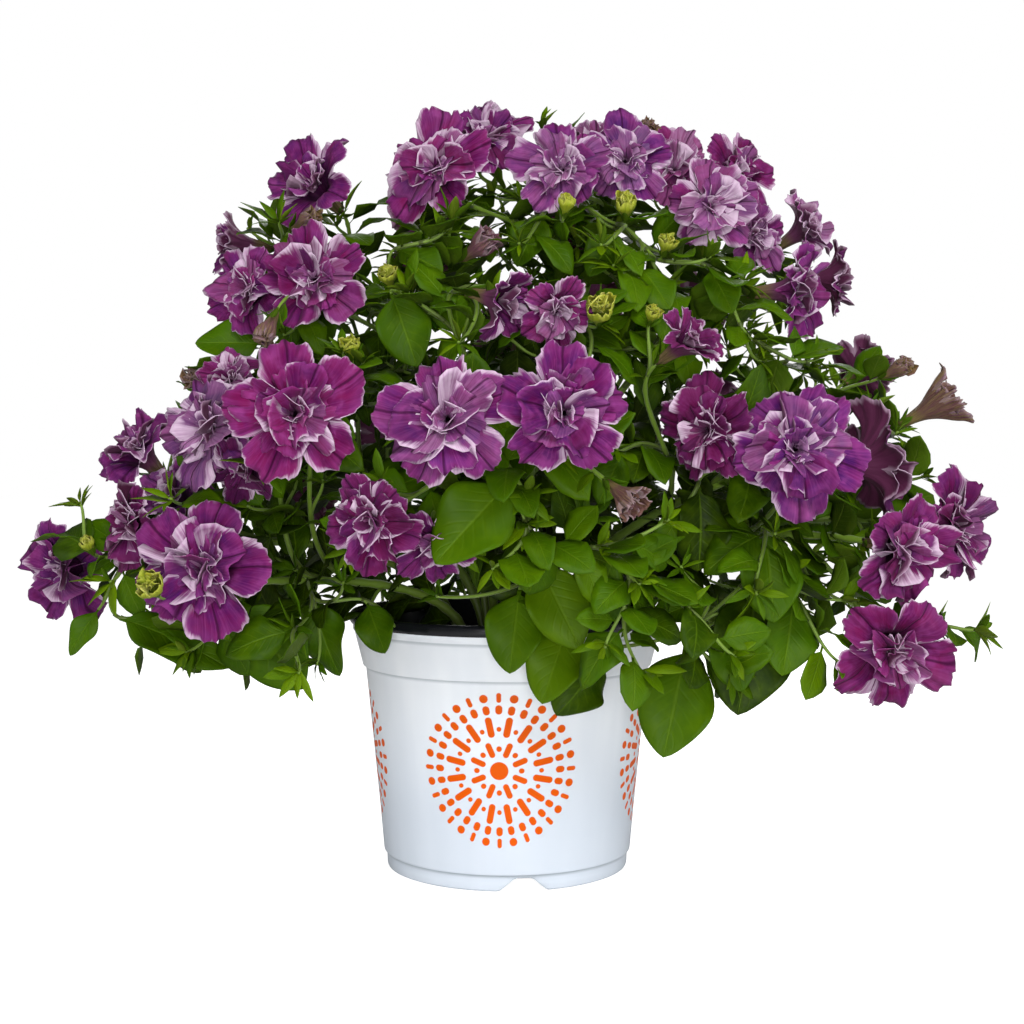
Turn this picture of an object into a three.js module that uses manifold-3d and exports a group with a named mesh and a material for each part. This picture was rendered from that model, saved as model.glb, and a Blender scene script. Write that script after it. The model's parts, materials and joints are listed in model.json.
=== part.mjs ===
/*
 * A double-flowered petunia growing in a round nursery pot.
 *
 * Units are millimetres and +Z is up. The origin is the centre of the pot's foot,
 * on the surface that the pot stands on. -Y is the front of the plant, and +X is
 * on the right of someone who looks at the front.
 *
 * The pot, the potting mix in it, every leafy shoot and every flower is one mesh.
 */

import * as THREE from 'three';
import { mergeVertices } from 'three/addons/utils/BufferGeometryUtils.js';
import Module from 'manifold-3d';

const wasm = await Module();
wasm.setup();

// ---------------------------------------------------------------------------
// Driving dimensions
// ---------------------------------------------------------------------------

const CLEARANCE = 0.3; // between two pieces that touch

const POT = {
  height: 154.4,
  lipRadius: 95.2, // outside of the rolled lip
  lipHeight: 6.4,
  bandTop: 94.2, // outer radii, from the lip down
  bandBottom: 86.9,
  bandHeight: 31.8, // from the step up to the lip's top
  bodyTop: 86.2,
  bodyBottom: 74.5,
  footTop: 73.4,
  footBottom: 72.7,
  footHeight: 9.5,
  footInner: 61, // inner edge of the ring that the pot stands on
  floorRadius: 58, // raised floor inside that ring
  floorHeight: 8.5,
  wall: 1.5,
  sides: 36,
};

// Drainage channels through the foot ring, a trapezium in section.
const CHANNEL = {
  azimuths: [7.6, 127.6, 247.6],
  bottomWidth: 27.6,
  topWidth: 9.4,
  height: 7.9,
  innerEnd: 50, // radius where it runs into the hollow under the floor
  outerEnd: 82,
};

const DRAIN = { holes: 6, radius: 4.5, circle: 40, sides: 10 };

const MIX = { rimLevel: 128, crownLevel: 131 };

const SHOOT = {
  stemRadius: 2.6,
  stemSides: 3, // half the number of sides of a stem
  stemSteps: 8,
  stalkRadius: 1.7, // of a flower's own stalk
  stalkSteps: 4,
  depthInMix: 6,
  socketRadii: [3.2, 5.6], // of the dimple in the mix, at its bottom and top
};

// Leaves, with their stations as shares of the stem's or the stalk's length.
const LEAF = {
  thickness: 0.9,
  petioleWidth: 1.8,
  curveSegments: 3,
  stemLength: 48,
  stemStations: [0.24, 0.36, 0.48, 0.58, 0.68, 0.8, 0.92],
  stalkLength: 36,
  stalkStations: [0.55],
};

// The outline that the leaf tips stay in, as an ellipsoid round the crown.
const CROWN = { centre: [0, 0, 195], radii: [282, 232, 245] };

const UP = new THREE.Vector3(0, 0, 1);
const GOLDEN_ANGLE = Math.PI * (3 - Math.sqrt(5));

// Flowers: centre of the face, width across, and the way it faces as an azimuth
// (0 to the front, 90 to the right, 180 to the back) and an elevation in degrees.
const flower = (x, y, z, across, azimuth, elevation) => ({
  centre: new THREE.Vector3(x, y, z),
  across,
  facing: direction(azimuth, elevation),
});

const FLOWERS = {
  top_1: flower(-42, -62, 413, 60, -20, 20),
  top_2: flower(-12, -14, 438, 54, 10, 30),
  top_3: flower(30, -78, 409, 50, -10, 15),
  top_4: flower(68, -52, 418, 50, 0, 10),
  top_5: flower(100, -10, 420, 46, 5, 20),
  top_6: flower(144, 30, 425, 50, 20, 20),
  top_7: flower(118, -56, 391, 50, 15, 5),
  right_1: flower(188, 34, 390, 46, 60, 30),
  right_2: flower(172, -34, 344, 54, 65, 0),
  right_3: flower(96, -142, 310, 40, 50, 30),
  right_4: flower(102, -150, 262, 50, -35, -5),
  right_5: flower(149, -165, 254, 66, 5, 10),
  right_6: flower(206, -84, 246, 60, 105, 10),
  right_7: flower(224, 44, 301, 44, 140, 20),
  right_8: flower(264, 8, 280, 46, 80, 30),
  right_9: flower(217, -118, 198, 58, 30, -5),
  right_10: flower(264, -46, 209, 62, 42, 0),
  right_11: flower(209, -120, 141, 64, 10, -20),
  mid_1: flower(0, -130, 330, 42, 60, -15),
  front_1: flower(-29, -222, 268, 60, -10, 5),
  front_2: flower(29, -222, 271, 62, 10, 5),
  front_3: flower(-68, -190, 217, 48, -20, -10),
  front_4: flower(-34, -176, 203, 40, 10, -30),
  front_5: flower(60, -196, 228, 30, 40, -30),
  left_1: flower(-116, -20, 410, 56, -30, 25),
  left_2: flower(-168, 20, 378, 42, -65, 5),
  left_3: flower(-149, -62, 343, 48, -30, 5),
  left_4: flower(-105, -106, 346, 58, -5, 15),
  left_5: flower(-108, -172, 271, 66, -5, 5),
  left_6: flower(-162, -118, 264, 60, -40, 5),
  left_7: flower(-220, -30, 254, 54, -40, 40),
  left_8: flower(-216, -72, 209, 50, -45, 10),
  left_9: flower(-268, -16, 179, 60, -35, -8),
  left_10: flower(-163, -136, 190, 72, -15, 12),
  back_1: flower(-55, 72, 408, 50, -155, 30),
  back_2: flower(45, 80, 402, 52, 165, 30),
  back_3: flower(-128, 95, 350, 48, -130, 20),
  back_4: flower(122, 105, 345, 52, 140, 20),
  back_5: flower(0, 160, 325, 58, 180, 15),
  back_6: flower(-85, 180, 262, 56, -160, 10),
  back_7: flower(82, 185, 258, 60, 165, 10),
  back_8: flower(-185, 120, 250, 54, -125, 10),
  back_9: flower(192, 125, 215, 54, 125, 10),
  back_10: flower(-225, 70, 175, 48, -110, 0),
  back_11: flower(-25, 220, 190, 56, -175, 0),
  back_12: flower(115, 196, 165, 50, 150, -5),
};

// Shoots: where the stem leaves the potting mix, the flower that ends it, and how
// far along the stem the stalk of each other flower starts.
const SHOOTS = {
  top: { base: [2, -6], end: 'top_4', stalks: { top_1: 0.62, top_2: 0.72, top_3: 0.78 } },
  top_right: {
    base: [13, 4],
    end: 'right_1',
    stalks: { right_2: 0.52, top_7: 0.6, top_5: 0.66, top_6: 0.76 },
  },
  top_left: {
    base: [-12, 0],
    end: 'left_2',
    stalks: { left_4: 0.5, left_3: 0.62, left_1: 0.72 },
  },
  front_left: { base: [-8, -20], end: 'front_1', stalks: { front_4: 0.5, front_3: 0.6 } },
  front_right: { base: [10, -20], end: 'front_2', stalks: { mid_1: 0.4, front_5: 0.62 } },
  right_front: { base: [24, -14], end: 'right_5', stalks: { right_3: 0.5, right_4: 0.64 } },
  right_low: { base: [32, -4], end: 'right_9', stalks: { right_6: 0.6, right_11: 0.7 } },
  right_side: { base: [30, 8], end: 'right_10', stalks: { right_7: 0.5, right_8: 0.62 } },
  left_front: { base: [-22, -14], end: 'left_10', stalks: { left_5: 0.5, left_6: 0.62 } },
  left_side: { base: [-28, 2], end: 'left_9', stalks: { left_7: 0.55, left_8: 0.68 } },
  back_left: {
    base: [-14, 18],
    end: 'back_8',
    stalks: { back_1: 0.44, back_3: 0.54, back_6: 0.58, back_10: 0.72 },
  },
  back_right: {
    base: [10, 20],
    end: 'back_7',
    stalks: { back_2: 0.3, back_4: 0.42, back_5: 0.52, back_9: 0.58, back_12: 0.7, back_11: 0.78 },
  },
};

// ---------------------------------------------------------------------------
// Helpers
// ---------------------------------------------------------------------------

function direction(azimuth, elevation) {
  const a = THREE.MathUtils.degToRad(azimuth);
  const e = THREE.MathUtils.degToRad(elevation);
  return new THREE.Vector3(Math.sin(a) * Math.cos(e), -Math.cos(a) * Math.cos(e), Math.sin(e));
}

/** A number from 0 to 1 that looks random and is always the same for the same n. */
function jitter(n) {
  const s = Math.sin(n * 12.9898) * 43758.5453;
  return s - Math.floor(s);
}

/** A closed mesh as a solid. Shared points are merged and empty faces dropped. */
function solidOf(geometry) {
  const bare = geometry.clone();
  bare.deleteAttribute('normal');
  bare.deleteAttribute('uv');
  const merged = mergeVertices(bare, 1e-4);
  const index = merged.index.array;
  const faces = [];
  for (let i = 0; i < index.length; i += 3) {
    const [a, b, c] = index.slice(i, i + 3);
    if (a !== b && b !== c && c !== a) faces.push(a, b, c);
  }
  return new wasm.Manifold(
    new wasm.Mesh({
      numProp: 3,
      vertProperties: new Float32Array(merged.attributes.position.array),
      triVerts: new Uint32Array(faces),
    }),
  );
}

function geometryOf(solid) {
  const mesh = solid.getMesh();
  const geometry = new THREE.BufferGeometry();
  geometry.setAttribute('position', new THREE.BufferAttribute(mesh.vertProperties, 3));
  geometry.setIndex(new THREE.BufferAttribute(mesh.triVerts, 1));
  geometry.computeVertexNormals();
  return geometry;
}

function largestPart(solid) {
  return solid.decompose().reduce((best, part) => (part.volume() > best.volume() ? part : best));
}

function boxesTouch(a, b) {
  const p = a.boundingBox();
  const q = b.boundingBox();
  return [0, 1, 2].every((i) => p.min[i] < q.max[i] && q.min[i] < p.max[i]);
}

function isClear(solid, others) {
  return others.every((other) => !boxesTouch(solid, other) || solid.intersect(other).isEmpty());
}

/** The solid without the room that the given neighbours take. */
function cutBy(solid, neighbours) {
  const near = neighbours.filter((other) => boxesTouch(solid, other));
  return near.reduce((rest, other) => rest.subtract(other), solid);
}

/** A solid turned about Z from a section given as [radius, height] points. */
function turned(section, sides) {
  const points = section.map(([r, z]) => new THREE.Vector2(r, z));
  const geometry = new THREE.LatheGeometry(points, sides);
  geometry.rotateX(Math.PI / 2);
  return solidOf(geometry);
}

/** An upright cylinder or cone, given by its radius at each level. */
function cone(low, high, bottom, top, sides) {
  const geometry = new THREE.CylinderGeometry(high, low, top - bottom, sides);
  geometry.rotateX(Math.PI / 2);
  geometry.translate(0, 0, (bottom + top) / 2);
  return solidOf(geometry);
}

/** A round bar along a curve. */
function bar(curve, radius, steps) {
  const section = new THREE.Shape().absarc(0, 0, radius, 0, 2 * Math.PI);
  const geometry = new THREE.ExtrudeGeometry(section, {
    extrudePath: curve,
    steps,
    curveSegments: SHOOT.stemSides,
  });
  return solidOf(geometry);
}

// ---------------------------------------------------------------------------
// Pot and potting mix
// ---------------------------------------------------------------------------

/** Wall and floor of the pot, moved inwards by inset, from the axis to below the lip. */
function potSection(inset) {
  const stepLevel = POT.height - POT.bandHeight;
  return [
    [0, POT.floorHeight + inset],
    [POT.floorRadius + 0.4 * inset, POT.floorHeight + inset],
    [POT.footInner + 0.8 * inset, inset],
    [POT.footBottom - inset, inset],
    [POT.footTop - inset, POT.footHeight],
    [POT.bodyBottom - inset, POT.footHeight + 0.6],
    [POT.bodyTop - inset, stepLevel - 0.8],
    [POT.bandBottom - inset, stepLevel],
  ];
}

/** The trapezoid drainage channels, each side moved outwards by grow. */
function channels(grow) {
  const low = CHANNEL.bottomWidth / 2 + grow;
  const high = CHANNEL.topWidth / 2 + 0.6 * grow;
  const section = new THREE.Shape([
    new THREE.Vector2(-low, -1),
    new THREE.Vector2(low, -1),
    new THREE.Vector2(high, CHANNEL.height + grow),
    new THREE.Vector2(-high, CHANNEL.height + grow),
  ]);
  const start = CHANNEL.innerEnd - grow;
  return CHANNEL.azimuths.map((azimuth) => {
    const geometry = new THREE.ExtrudeGeometry(section, {
      depth: CHANNEL.outerEnd - start,
      bevelEnabled: false,
    });
    geometry.rotateX(Math.PI / 2); // the section now stands up, and the channel runs to -Y
    geometry.translate(0, -start, 0);
    geometry.rotateZ(THREE.MathUtils.degToRad(azimuth));
    return solidOf(geometry);
  });
}

function makePot() {
  const lipBottom = POT.height - POT.lipHeight;
  const lipWall = 3.4;
  const outside = turned(
    [
      ...potSection(0),
      [POT.bandTop, lipBottom - 0.4],
      [POT.lipRadius - 0.2, lipBottom],
      [POT.lipRadius, POT.height - 2.2],
      [POT.lipRadius - 0.7, POT.height - 0.6],
      [POT.lipRadius - 1.8, POT.height],
      [0, POT.height],
    ],
    POT.sides,
  );
  const room = turned(
    [
      ...potSection(POT.wall),
      [POT.lipRadius - lipWall, lipBottom - 0.4],
      [POT.lipRadius - lipWall, POT.height + 1],
      [0, POT.height + 1],
    ],
    POT.sides,
  );
  const drains = Array.from({ length: DRAIN.holes }, (_, i) => {
    const angle = (2 * Math.PI * i) / DRAIN.holes;
    const hole = cone(DRAIN.radius, DRAIN.radius, 0, POT.floorHeight + 2 * POT.wall, DRAIN.sides);
    return hole.translate([DRAIN.circle * Math.cos(angle), DRAIN.circle * Math.sin(angle), 0]);
  });
  const hollow = cutBy(room, channels(POT.wall));
  return cutBy(cutBy(outside, channels(0)), [hollow, ...drains]);
}

function makeMix() {
  const inset = POT.wall + CLEARANCE;
  const slope = (POT.bandTop - POT.bandBottom) / (POT.bandHeight - POT.lipHeight);
  const rise = MIX.rimLevel - (POT.height - POT.bandHeight);
  const mass = turned(
    [
      ...potSection(inset),
      [POT.bandBottom - inset + slope * rise - CLEARANCE, MIX.rimLevel],
      [40, MIX.crownLevel],
      [0, MIX.crownLevel],
    ],
    POT.sides,
  );
  const sockets = Object.values(SHOOTS).map(({ base: [x, y] }) => {
    const bottom = MIX.crownLevel - SHOOT.depthInMix - CLEARANCE;
    const [low, high] = SHOOT.socketRadii;
    return cone(low, high, bottom, MIX.crownLevel + 2, 10).translate([x, y, 0]);
  });
  return cutBy(mass, [...channels(inset), ...sockets]);
}

// ---------------------------------------------------------------------------
// Flowers
// ---------------------------------------------------------------------------

const TUBE_LENGTH = 0.6; // from the face back to the stalk, as a share of the width
const LOBES = 5;

/**
 * A flower that faces +Y with the centre of its face at the origin: a funnel, a limb
 * of five lobes and the mound of inner petals. It is grow larger all round.
 */
function flowerGeometry(across, grow = 0) {
  const r = across / 2;
  const profile = [
    [0, -TUBE_LENGTH * across - grow],
    [0.05 * across + grow, -TUBE_LENGTH * across - grow],
    [0.1 * across + grow, -0.25 * across],
    [r + grow, -0.02 * across - grow],
    [0.84 * r + grow, 0.08 * across + grow],
    [0, 0.2 * across + grow],
  ];
  const points = profile.map(([x, y]) => new THREE.Vector2(x, y));
  const geometry = new THREE.LatheGeometry(points, 2 * LOBES);
  const position = geometry.attributes.position;
  for (let i = 0; i < position.count; i++) {
    const x = position.getX(i);
    const z = position.getZ(i);
    const reach = Math.hypot(x, z);
    const notch = 0.5 - 0.5 * Math.cos(LOBES * Math.atan2(x, z));
    const scale = reach > 0.7 * r ? 1 - 0.12 * notch : 1;
    position.setXYZ(i, x * scale, position.getY(i), z * scale);
  }
  return geometry;
}

function placement({ centre, facing }) {
  const turn = new THREE.Quaternion().setFromUnitVectors(new THREE.Vector3(0, 1, 0), facing);
  return new THREE.Matrix4().compose(centre, turn, new THREE.Vector3(1, 1, 1));
}

/** Where a flower's tube meets its stalk. */
function stalkEnd({ centre, facing, across }) {
  return centre.clone().addScaledVector(facing, -(TUBE_LENGTH * across + CLEARANCE));
}

// ---------------------------------------------------------------------------
// Shoots
// ---------------------------------------------------------------------------

/** A curve that leaves one point along one direction and arrives at another along a second. */
function bend(from, leaving, to, arriving) {
  const span = from.distanceTo(to);
  return new THREE.CubicBezierCurve3(
    from,
    from.clone().addScaledVector(leaving, 0.4 * span),
    to.clone().addScaledVector(arriving, -0.3 * span),
    to,
  );
}

/** An ovate leaf from the origin along +X, its upper face to +Z, drooping to its tip. */
function leafGeometry(length, width, grow = 0) {
  const half = LEAF.petioleWidth / 2 + grow;
  const blade = 0.12 * length;
  const bulge = 0.72 * width + grow;
  const tip = length + grow;
  const outline = new THREE.Shape();
  outline.moveTo(-grow, -half);
  outline.lineTo(blade, -half);
  outline.bezierCurveTo(0.25 * length, -bulge, 0.65 * length, -bulge, tip, 0);
  outline.bezierCurveTo(0.65 * length, bulge, 0.25 * length, bulge, blade, half);
  outline.lineTo(-grow, half);
  const thickness = LEAF.thickness + 2 * grow;
  const geometry = new THREE.ExtrudeGeometry(outline, {
    depth: thickness,
    bevelEnabled: false,
    curveSegments: LEAF.curveSegments,
  });
  geometry.translate(0, 0, -thickness / 2);
  const position = geometry.attributes.position;
  for (let i = 0; i < position.count; i++) {
    const along = position.getX(i) / length;
    position.setZ(i, position.getZ(i) - 0.22 * length * along * along);
  }
  return geometry;
}

/** Leaves round a stem, each as its matrix, length and width. */
function leavesAlong(curve, stations, length, seed) {
  const axis = new THREE.Vector3(0, 0, 195);
  return stations.map((t, i) => {
    const at = curve.getPoint(t);
    const along = curve.getTangent(t);
    const across = new THREE.Vector3().crossVectors(along, UP).normalize();
    across.applyAxisAngle(along, GOLDEN_ANGLE * (i + seed));
    const out = across.multiplyScalar(0.9).addScaledVector(along, 0.45).normalize();
    const outward = at.clone().sub(axis).normalize();
    const above = outward.addScaledVector(UP, 0.8);
    const side = new THREE.Vector3().crossVectors(above, out).normalize();
    const face = new THREE.Vector3().crossVectors(out, side);
    const reach = length * (0.85 + 0.3 * jitter(seed * 17 + i));
    return {
      matrix: new THREE.Matrix4().makeBasis(out, side, face).setPosition(at),
      tip: at.clone().addScaledVector(out, reach),
      length: reach,
      width: 0.62 * reach,
    };
  });
}

function insideCrown(point) {
  const sum = point
    .toArray()
    .reduce((total, v, i) => total + ((v - CROWN.centre[i]) / CROWN.radii[i]) ** 2, 0);
  return sum < 1;
}

/** The stem of a shoot and the stalks that branch from it, as curves. */
function shootCurves({ base: [x, y], end, stalks }) {
  const foot = new THREE.Vector3(x, y, MIX.crownLevel - SHOOT.depthInMix);
  const last = FLOWERS[end];
  const stem = bend(foot, UP, stalkEnd(last), last.facing);
  const branches = Object.entries(stalks).map(([name, t]) => {
    const own = FLOWERS[name];
    return bend(stem.getPoint(t), stem.getTangent(t), stalkEnd(own), own.facing);
  });
  return { stem, branches };
}

function makeStems({ stem, branches }) {
  const main = bar(stem, SHOOT.stemRadius, SHOOT.stemSteps);
  const stalks = branches.map((curve) => bar(curve, SHOOT.stalkRadius, SHOOT.stalkSteps));
  return wasm.Manifold.union([main, ...stalks]);
}

function shootLeaves({ stem, branches }, seed) {
  const onStem = leavesAlong(stem, LEAF.stemStations, LEAF.stemLength, seed);
  const onStalks = branches.flatMap((curve, i) =>
    leavesAlong(curve, LEAF.stalkStations, LEAF.stalkLength, seed + 3 * i + 1),
  );
  return [...onStem, ...onStalks].filter((leaf) => insideCrown(leaf.tip));
}

// ---------------------------------------------------------------------------
// The plant
// ---------------------------------------------------------------------------

const plant = new THREE.Group();

function addMesh(name, geometry, { color, roughness, metalness = 0 }, matrix) {
  const material = new THREE.MeshStandardMaterial({ color, roughness, metalness });
  const mesh = new THREE.Mesh(geometry, material);
  mesh.name = name;
  if (matrix) matrix.decompose(mesh.position, mesh.quaternion, mesh.scale);
  plant.add(mesh);
}

const WHITE_PLASTIC = { color: '#eef1f5', roughness: 0.35 };
const DARK_PEAT = { color: '#1d1611', roughness: 0.95 };
const GREEN_LEAF = { color: '#4c7a1e', roughness: 0.6 };
const PURPLE_PETAL = { color: '#8f3392', roughness: 0.65 };

const pot = makePot();
const mix = makeMix();
addMesh('pot', geometryOf(pot), WHITE_PLASTIC);
addMesh('potting_mix', geometryOf(mix), DARK_PEAT);

// Each flower keeps clear of the ones before it.
const roomOfFlowers = [];
for (const [name, spec] of Object.entries(FLOWERS)) {
  const matrix = placement(spec);
  const whole = solidOf(flowerGeometry(spec.across)).transform(matrix.toArray());
  const cut = largestPart(cutBy(whole, roomOfFlowers));
  const local = cut.transform(matrix.clone().invert().toArray());
  addMesh(`flower_${name}`, geometryOf(local), PURPLE_PETAL, matrix);
  roomOfFlowers.push(solidOf(flowerGeometry(spec.across, CLEARANCE)).transform(matrix.toArray()));
}

// The stems come first, then the leaves that find room between everything else.
const shoots = Object.entries(SHOOTS).map(([name, spec], i) => {
  const curves = shootCurves(spec);
  const stems = largestPart(cutBy(makeStems(curves), roomOfFlowers));
  return { name, curves, stems, seed: 7 * i + 1 };
});

const grown = shoots.map(() => []);
shoots.forEach(({ curves, seed }, i) => {
  const others = [
    pot,
    mix,
    ...roomOfFlowers,
    ...shoots.filter((_, j) => j !== i).map((shoot) => shoot.stems),
    ...grown.flat(),
  ];
  for (const leaf of shootLeaves(curves, seed)) {
    const room = solidOf(leafGeometry(leaf.length, leaf.width, CLEARANCE));
    if (!isClear(room.transform(leaf.matrix.toArray()), others)) continue;
    const blade = solidOf(leafGeometry(leaf.length, leaf.width));
    grown[i].push(blade.transform(leaf.matrix.toArray()));
  }
});

shoots.forEach(({ name, stems }, i) => {
  const whole = wasm.Manifold.union([stems, ...grown[i]]);
  addMesh(`shoot_${name}`, geometryOf(largestPart(whole)), GREEN_LEAF);
});

export default plant;
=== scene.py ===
"""A double-flowered petunia in a round white nursery pot.

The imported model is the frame: every flower, shoot, the mix and the pot is modelled
here in the place of its plain solid, with its real petals, leaves and finish.
Lengths are given in millimetres and scaled by MM where they meet Blender's metres.
-Y is the front of the plant, +X its right hand side and +Z is up.
"""

from __future__ import annotations

import json
import logging
import math
from dataclasses import dataclass, field
from enum import Enum
from typing import Any, Sequence

import bmesh
import bpy
import numpy as np
from mathutils import Matrix, Vector

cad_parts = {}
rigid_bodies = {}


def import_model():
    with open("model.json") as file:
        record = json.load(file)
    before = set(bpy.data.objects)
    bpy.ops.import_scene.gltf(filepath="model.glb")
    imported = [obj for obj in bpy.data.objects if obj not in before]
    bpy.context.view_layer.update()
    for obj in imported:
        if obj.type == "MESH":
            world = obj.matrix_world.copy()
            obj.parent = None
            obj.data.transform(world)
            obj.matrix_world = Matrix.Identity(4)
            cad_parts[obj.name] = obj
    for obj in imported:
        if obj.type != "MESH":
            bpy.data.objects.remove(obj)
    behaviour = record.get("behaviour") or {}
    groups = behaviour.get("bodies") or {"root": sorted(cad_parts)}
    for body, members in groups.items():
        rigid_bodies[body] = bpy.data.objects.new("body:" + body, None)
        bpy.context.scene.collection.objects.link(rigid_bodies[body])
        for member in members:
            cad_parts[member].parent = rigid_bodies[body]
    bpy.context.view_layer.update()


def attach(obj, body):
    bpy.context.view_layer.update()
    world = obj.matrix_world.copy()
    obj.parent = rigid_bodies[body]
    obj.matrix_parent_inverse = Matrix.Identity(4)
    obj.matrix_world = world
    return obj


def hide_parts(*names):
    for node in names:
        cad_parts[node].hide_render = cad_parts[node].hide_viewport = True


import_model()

log = logging.getLogger("petunia")

Socket = bpy.types.NodeSocket
Material = bpy.types.Material
Piece = bpy.types.Object
Array = np.ndarray
Pair = tuple[float, float]
Point = tuple[float, float, float]
Values = dict[str | int, Any]

MM = 0.001
BODY = "root"
GOLDEN_ANGLE = math.pi * (3 - math.sqrt(5))
UP = np.array([0.0, 0.0, 1.0])

# How long a flower's tube is, as a share of its width, and its gap to the stalk in mm.
TUBE_LENGTH = 0.6
STALK_GAP = 0.3


# Layout of the plant, as its frame has it ----------------------------------


class Form(Enum):
    """How far a flower has opened."""

    OPEN = "open"
    LOOSE = "loose"
    FUNNEL = "funnel"
    CLOSING = "closing"
    BUD = "bud"
    SPENT = "spent"


def direction(azimuth: float, elevation: float) -> Array:
    """The unit vector of an azimuth and an elevation.

    Args:
        azimuth: Degrees, 0 to the front, 90 to the right, 180 to the back.
        elevation: Degrees above the horizon.

    Returns:
        The vector as an array of three.
    """
    a, e = math.radians(azimuth), math.radians(elevation)
    return np.array([math.sin(a) * math.cos(e), -math.cos(a) * math.cos(e), math.sin(e)])


@dataclass(frozen=True)
class FlowerPlace:
    """Where one flower stands and which way it faces, in mm and degrees.

    The roll is where one of its lobes points, anticlockwise from its right. How pale,
    how deep in colour and how wilted it is goes from 0 to 1.
    """

    x: float
    y: float
    z: float
    across: float
    azimuth: float
    elevation: float
    form: Form = Form.OPEN
    pale: float = 0.25
    deep: float = 0.3
    roll: float | None = None
    wilt: float = 0.0

    @property
    def centre(self) -> Array:
        """The middle of the flower's face, in mm."""
        return np.array([self.x, self.y, self.z], dtype=float)

    @property
    def facing(self) -> Array:
        """The unit vector that the flower faces along."""
        return direction(self.azimuth, self.elevation)

    @property
    def stalk_end(self) -> Array:
        """Where the tube meets its stalk, in mm."""
        return self.centre - self.facing * (TUBE_LENGTH * self.across + STALK_GAP)


Place = FlowerPlace
FLOWERS: dict[str, FlowerPlace] = {
    "top_1": Place(-42, -62, 413, 60, -20, 20, pale=0.45, deep=0.15),
    "top_2": Place(-12, -14, 438, 54, 10, 30, pale=0.4, deep=0.25),
    "top_3": Place(30, -78, 409, 50, -10, 15, pale=0.7, deep=0.1),
    "top_4": Place(68, -52, 418, 50, 0, 10, pale=0.6, deep=0.1),
    "top_5": Place(100, -10, 420, 46, 5, 20, pale=0.75, deep=0.1),
    "top_6": Place(144, 30, 425, 50, 20, 20, Form.LOOSE, pale=0.3, roll=-80),
    "top_7": Place(118, -56, 391, 50, 15, 5, pale=0.8, deep=0.1),
    "right_1": Place(188, 34, 390, 46, 60, 30, Form.LOOSE, pale=0.95, deep=0.1),
    "right_2": Place(172, -34, 344, 54, 65, 0, pale=0.3, deep=0.2),
    "right_3": Place(96, -142, 310, 40, 50, 30, Form.FUNNEL, pale=0.2, deep=0.6),
    "right_4": Place(102, -150, 262, 50, -35, -5, pale=0.12, deep=0.8),
    "right_5": Place(149, -165, 254, 66, 5, 10, pale=0.4, deep=0.0, roll=-90),
    "right_6": Place(206, -84, 246, 60, 105, 10, Form.LOOSE, pale=0.2, deep=0.8),
    "right_7": Place(224, 44, 301, 44, 140, 20, Form.LOOSE, pale=0.3, deep=0.7),
    "right_8": Place(264, 8, 280, 46, 80, 30, Form.CLOSING, pale=0.4, deep=0.8, wilt=0.7),
    "right_9": Place(217, -118, 198, 58, 30, -5, pale=0.3, deep=0.4),
    "right_10": Place(264, -46, 209, 62, 42, 0, pale=0.3, deep=0.4),
    "right_11": Place(209, -120, 141, 64, 10, -20, Form.LOOSE, pale=0.4),
    "mid_1": Place(0, -130, 330, 42, 60, -15, Form.FUNNEL, pale=0.2, deep=0.5),
    "front_1": Place(-29, -222, 268, 60, -10, 5, pale=0.5, deep=0.1, roll=27),
    "front_2": Place(29, -222, 271, 62, 10, 5, pale=0.2, deep=0.2, roll=92),
    "front_3": Place(-68, -190, 217, 48, -20, -10, pale=0.2, deep=0.5),
    "front_4": Place(-34, -176, 203, 40, 10, -30, Form.LOOSE, pale=0.4, deep=0.4),
    "front_5": Place(60, -196, 228, 30, 40, -30, Form.CLOSING, pale=0.3, deep=0.9, wilt=0.65),
    "left_1": Place(-116, -20, 410, 56, -30, 25, Form.LOOSE),
    "left_2": Place(-168, 20, 378, 42, -65, 5, Form.FUNNEL, pale=0.3, deep=0.5),
    "left_3": Place(-149, -62, 343, 48, -30, 5, pale=0.3, deep=0.2),
    "left_4": Place(-105, -106, 346, 58, -5, 15, pale=0.4),
    "left_5": Place(-108, -172, 271, 66, -5, 5, pale=0.2, deep=0.15, roll=101),
    "left_6": Place(-162, -118, 264, 60, -40, 5, pale=0.8),
    "left_7": Place(-220, -30, 254, 54, -40, 40, Form.LOOSE, pale=0.4),
    "left_8": Place(-216, -72, 209, 50, -45, 10, pale=0.4, deep=0.7),
    "left_9": Place(-268, -16, 179, 60, -35, -8, Form.LOOSE, pale=0.35),
    "left_10": Place(-163, -136, 190, 72, -15, 12, pale=0.35, deep=0.2, roll=76),
    "back_1": Place(-55, 72, 408, 50, -155, 30, pale=0.4),
    "back_2": Place(45, 80, 402, 52, 165, 30, pale=0.3),
    "back_3": Place(-128, 95, 350, 48, -130, 20, pale=0.5),
    "back_4": Place(122, 105, 345, 52, 140, 20, Form.LOOSE),
    "back_5": Place(0, 160, 325, 58, 180, 15, pale=0.3),
    "back_6": Place(-85, 180, 262, 56, -160, 10, pale=0.35),
    "back_7": Place(82, 185, 258, 60, 165, 10, deep=0.2),
    "back_8": Place(-185, 120, 250, 54, -125, 10, pale=0.3, deep=0.5),
    "back_9": Place(192, 125, 215, 54, 125, 10, pale=0.4),
    "back_10": Place(-225, 70, 175, 48, -110, 0, Form.LOOSE, pale=0.4),
    "back_11": Place(-25, 220, 190, 56, -175, 0, pale=0.3),
    "back_12": Place(115, 196, 165, 50, 150, -5, pale=0.5),
}

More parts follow.
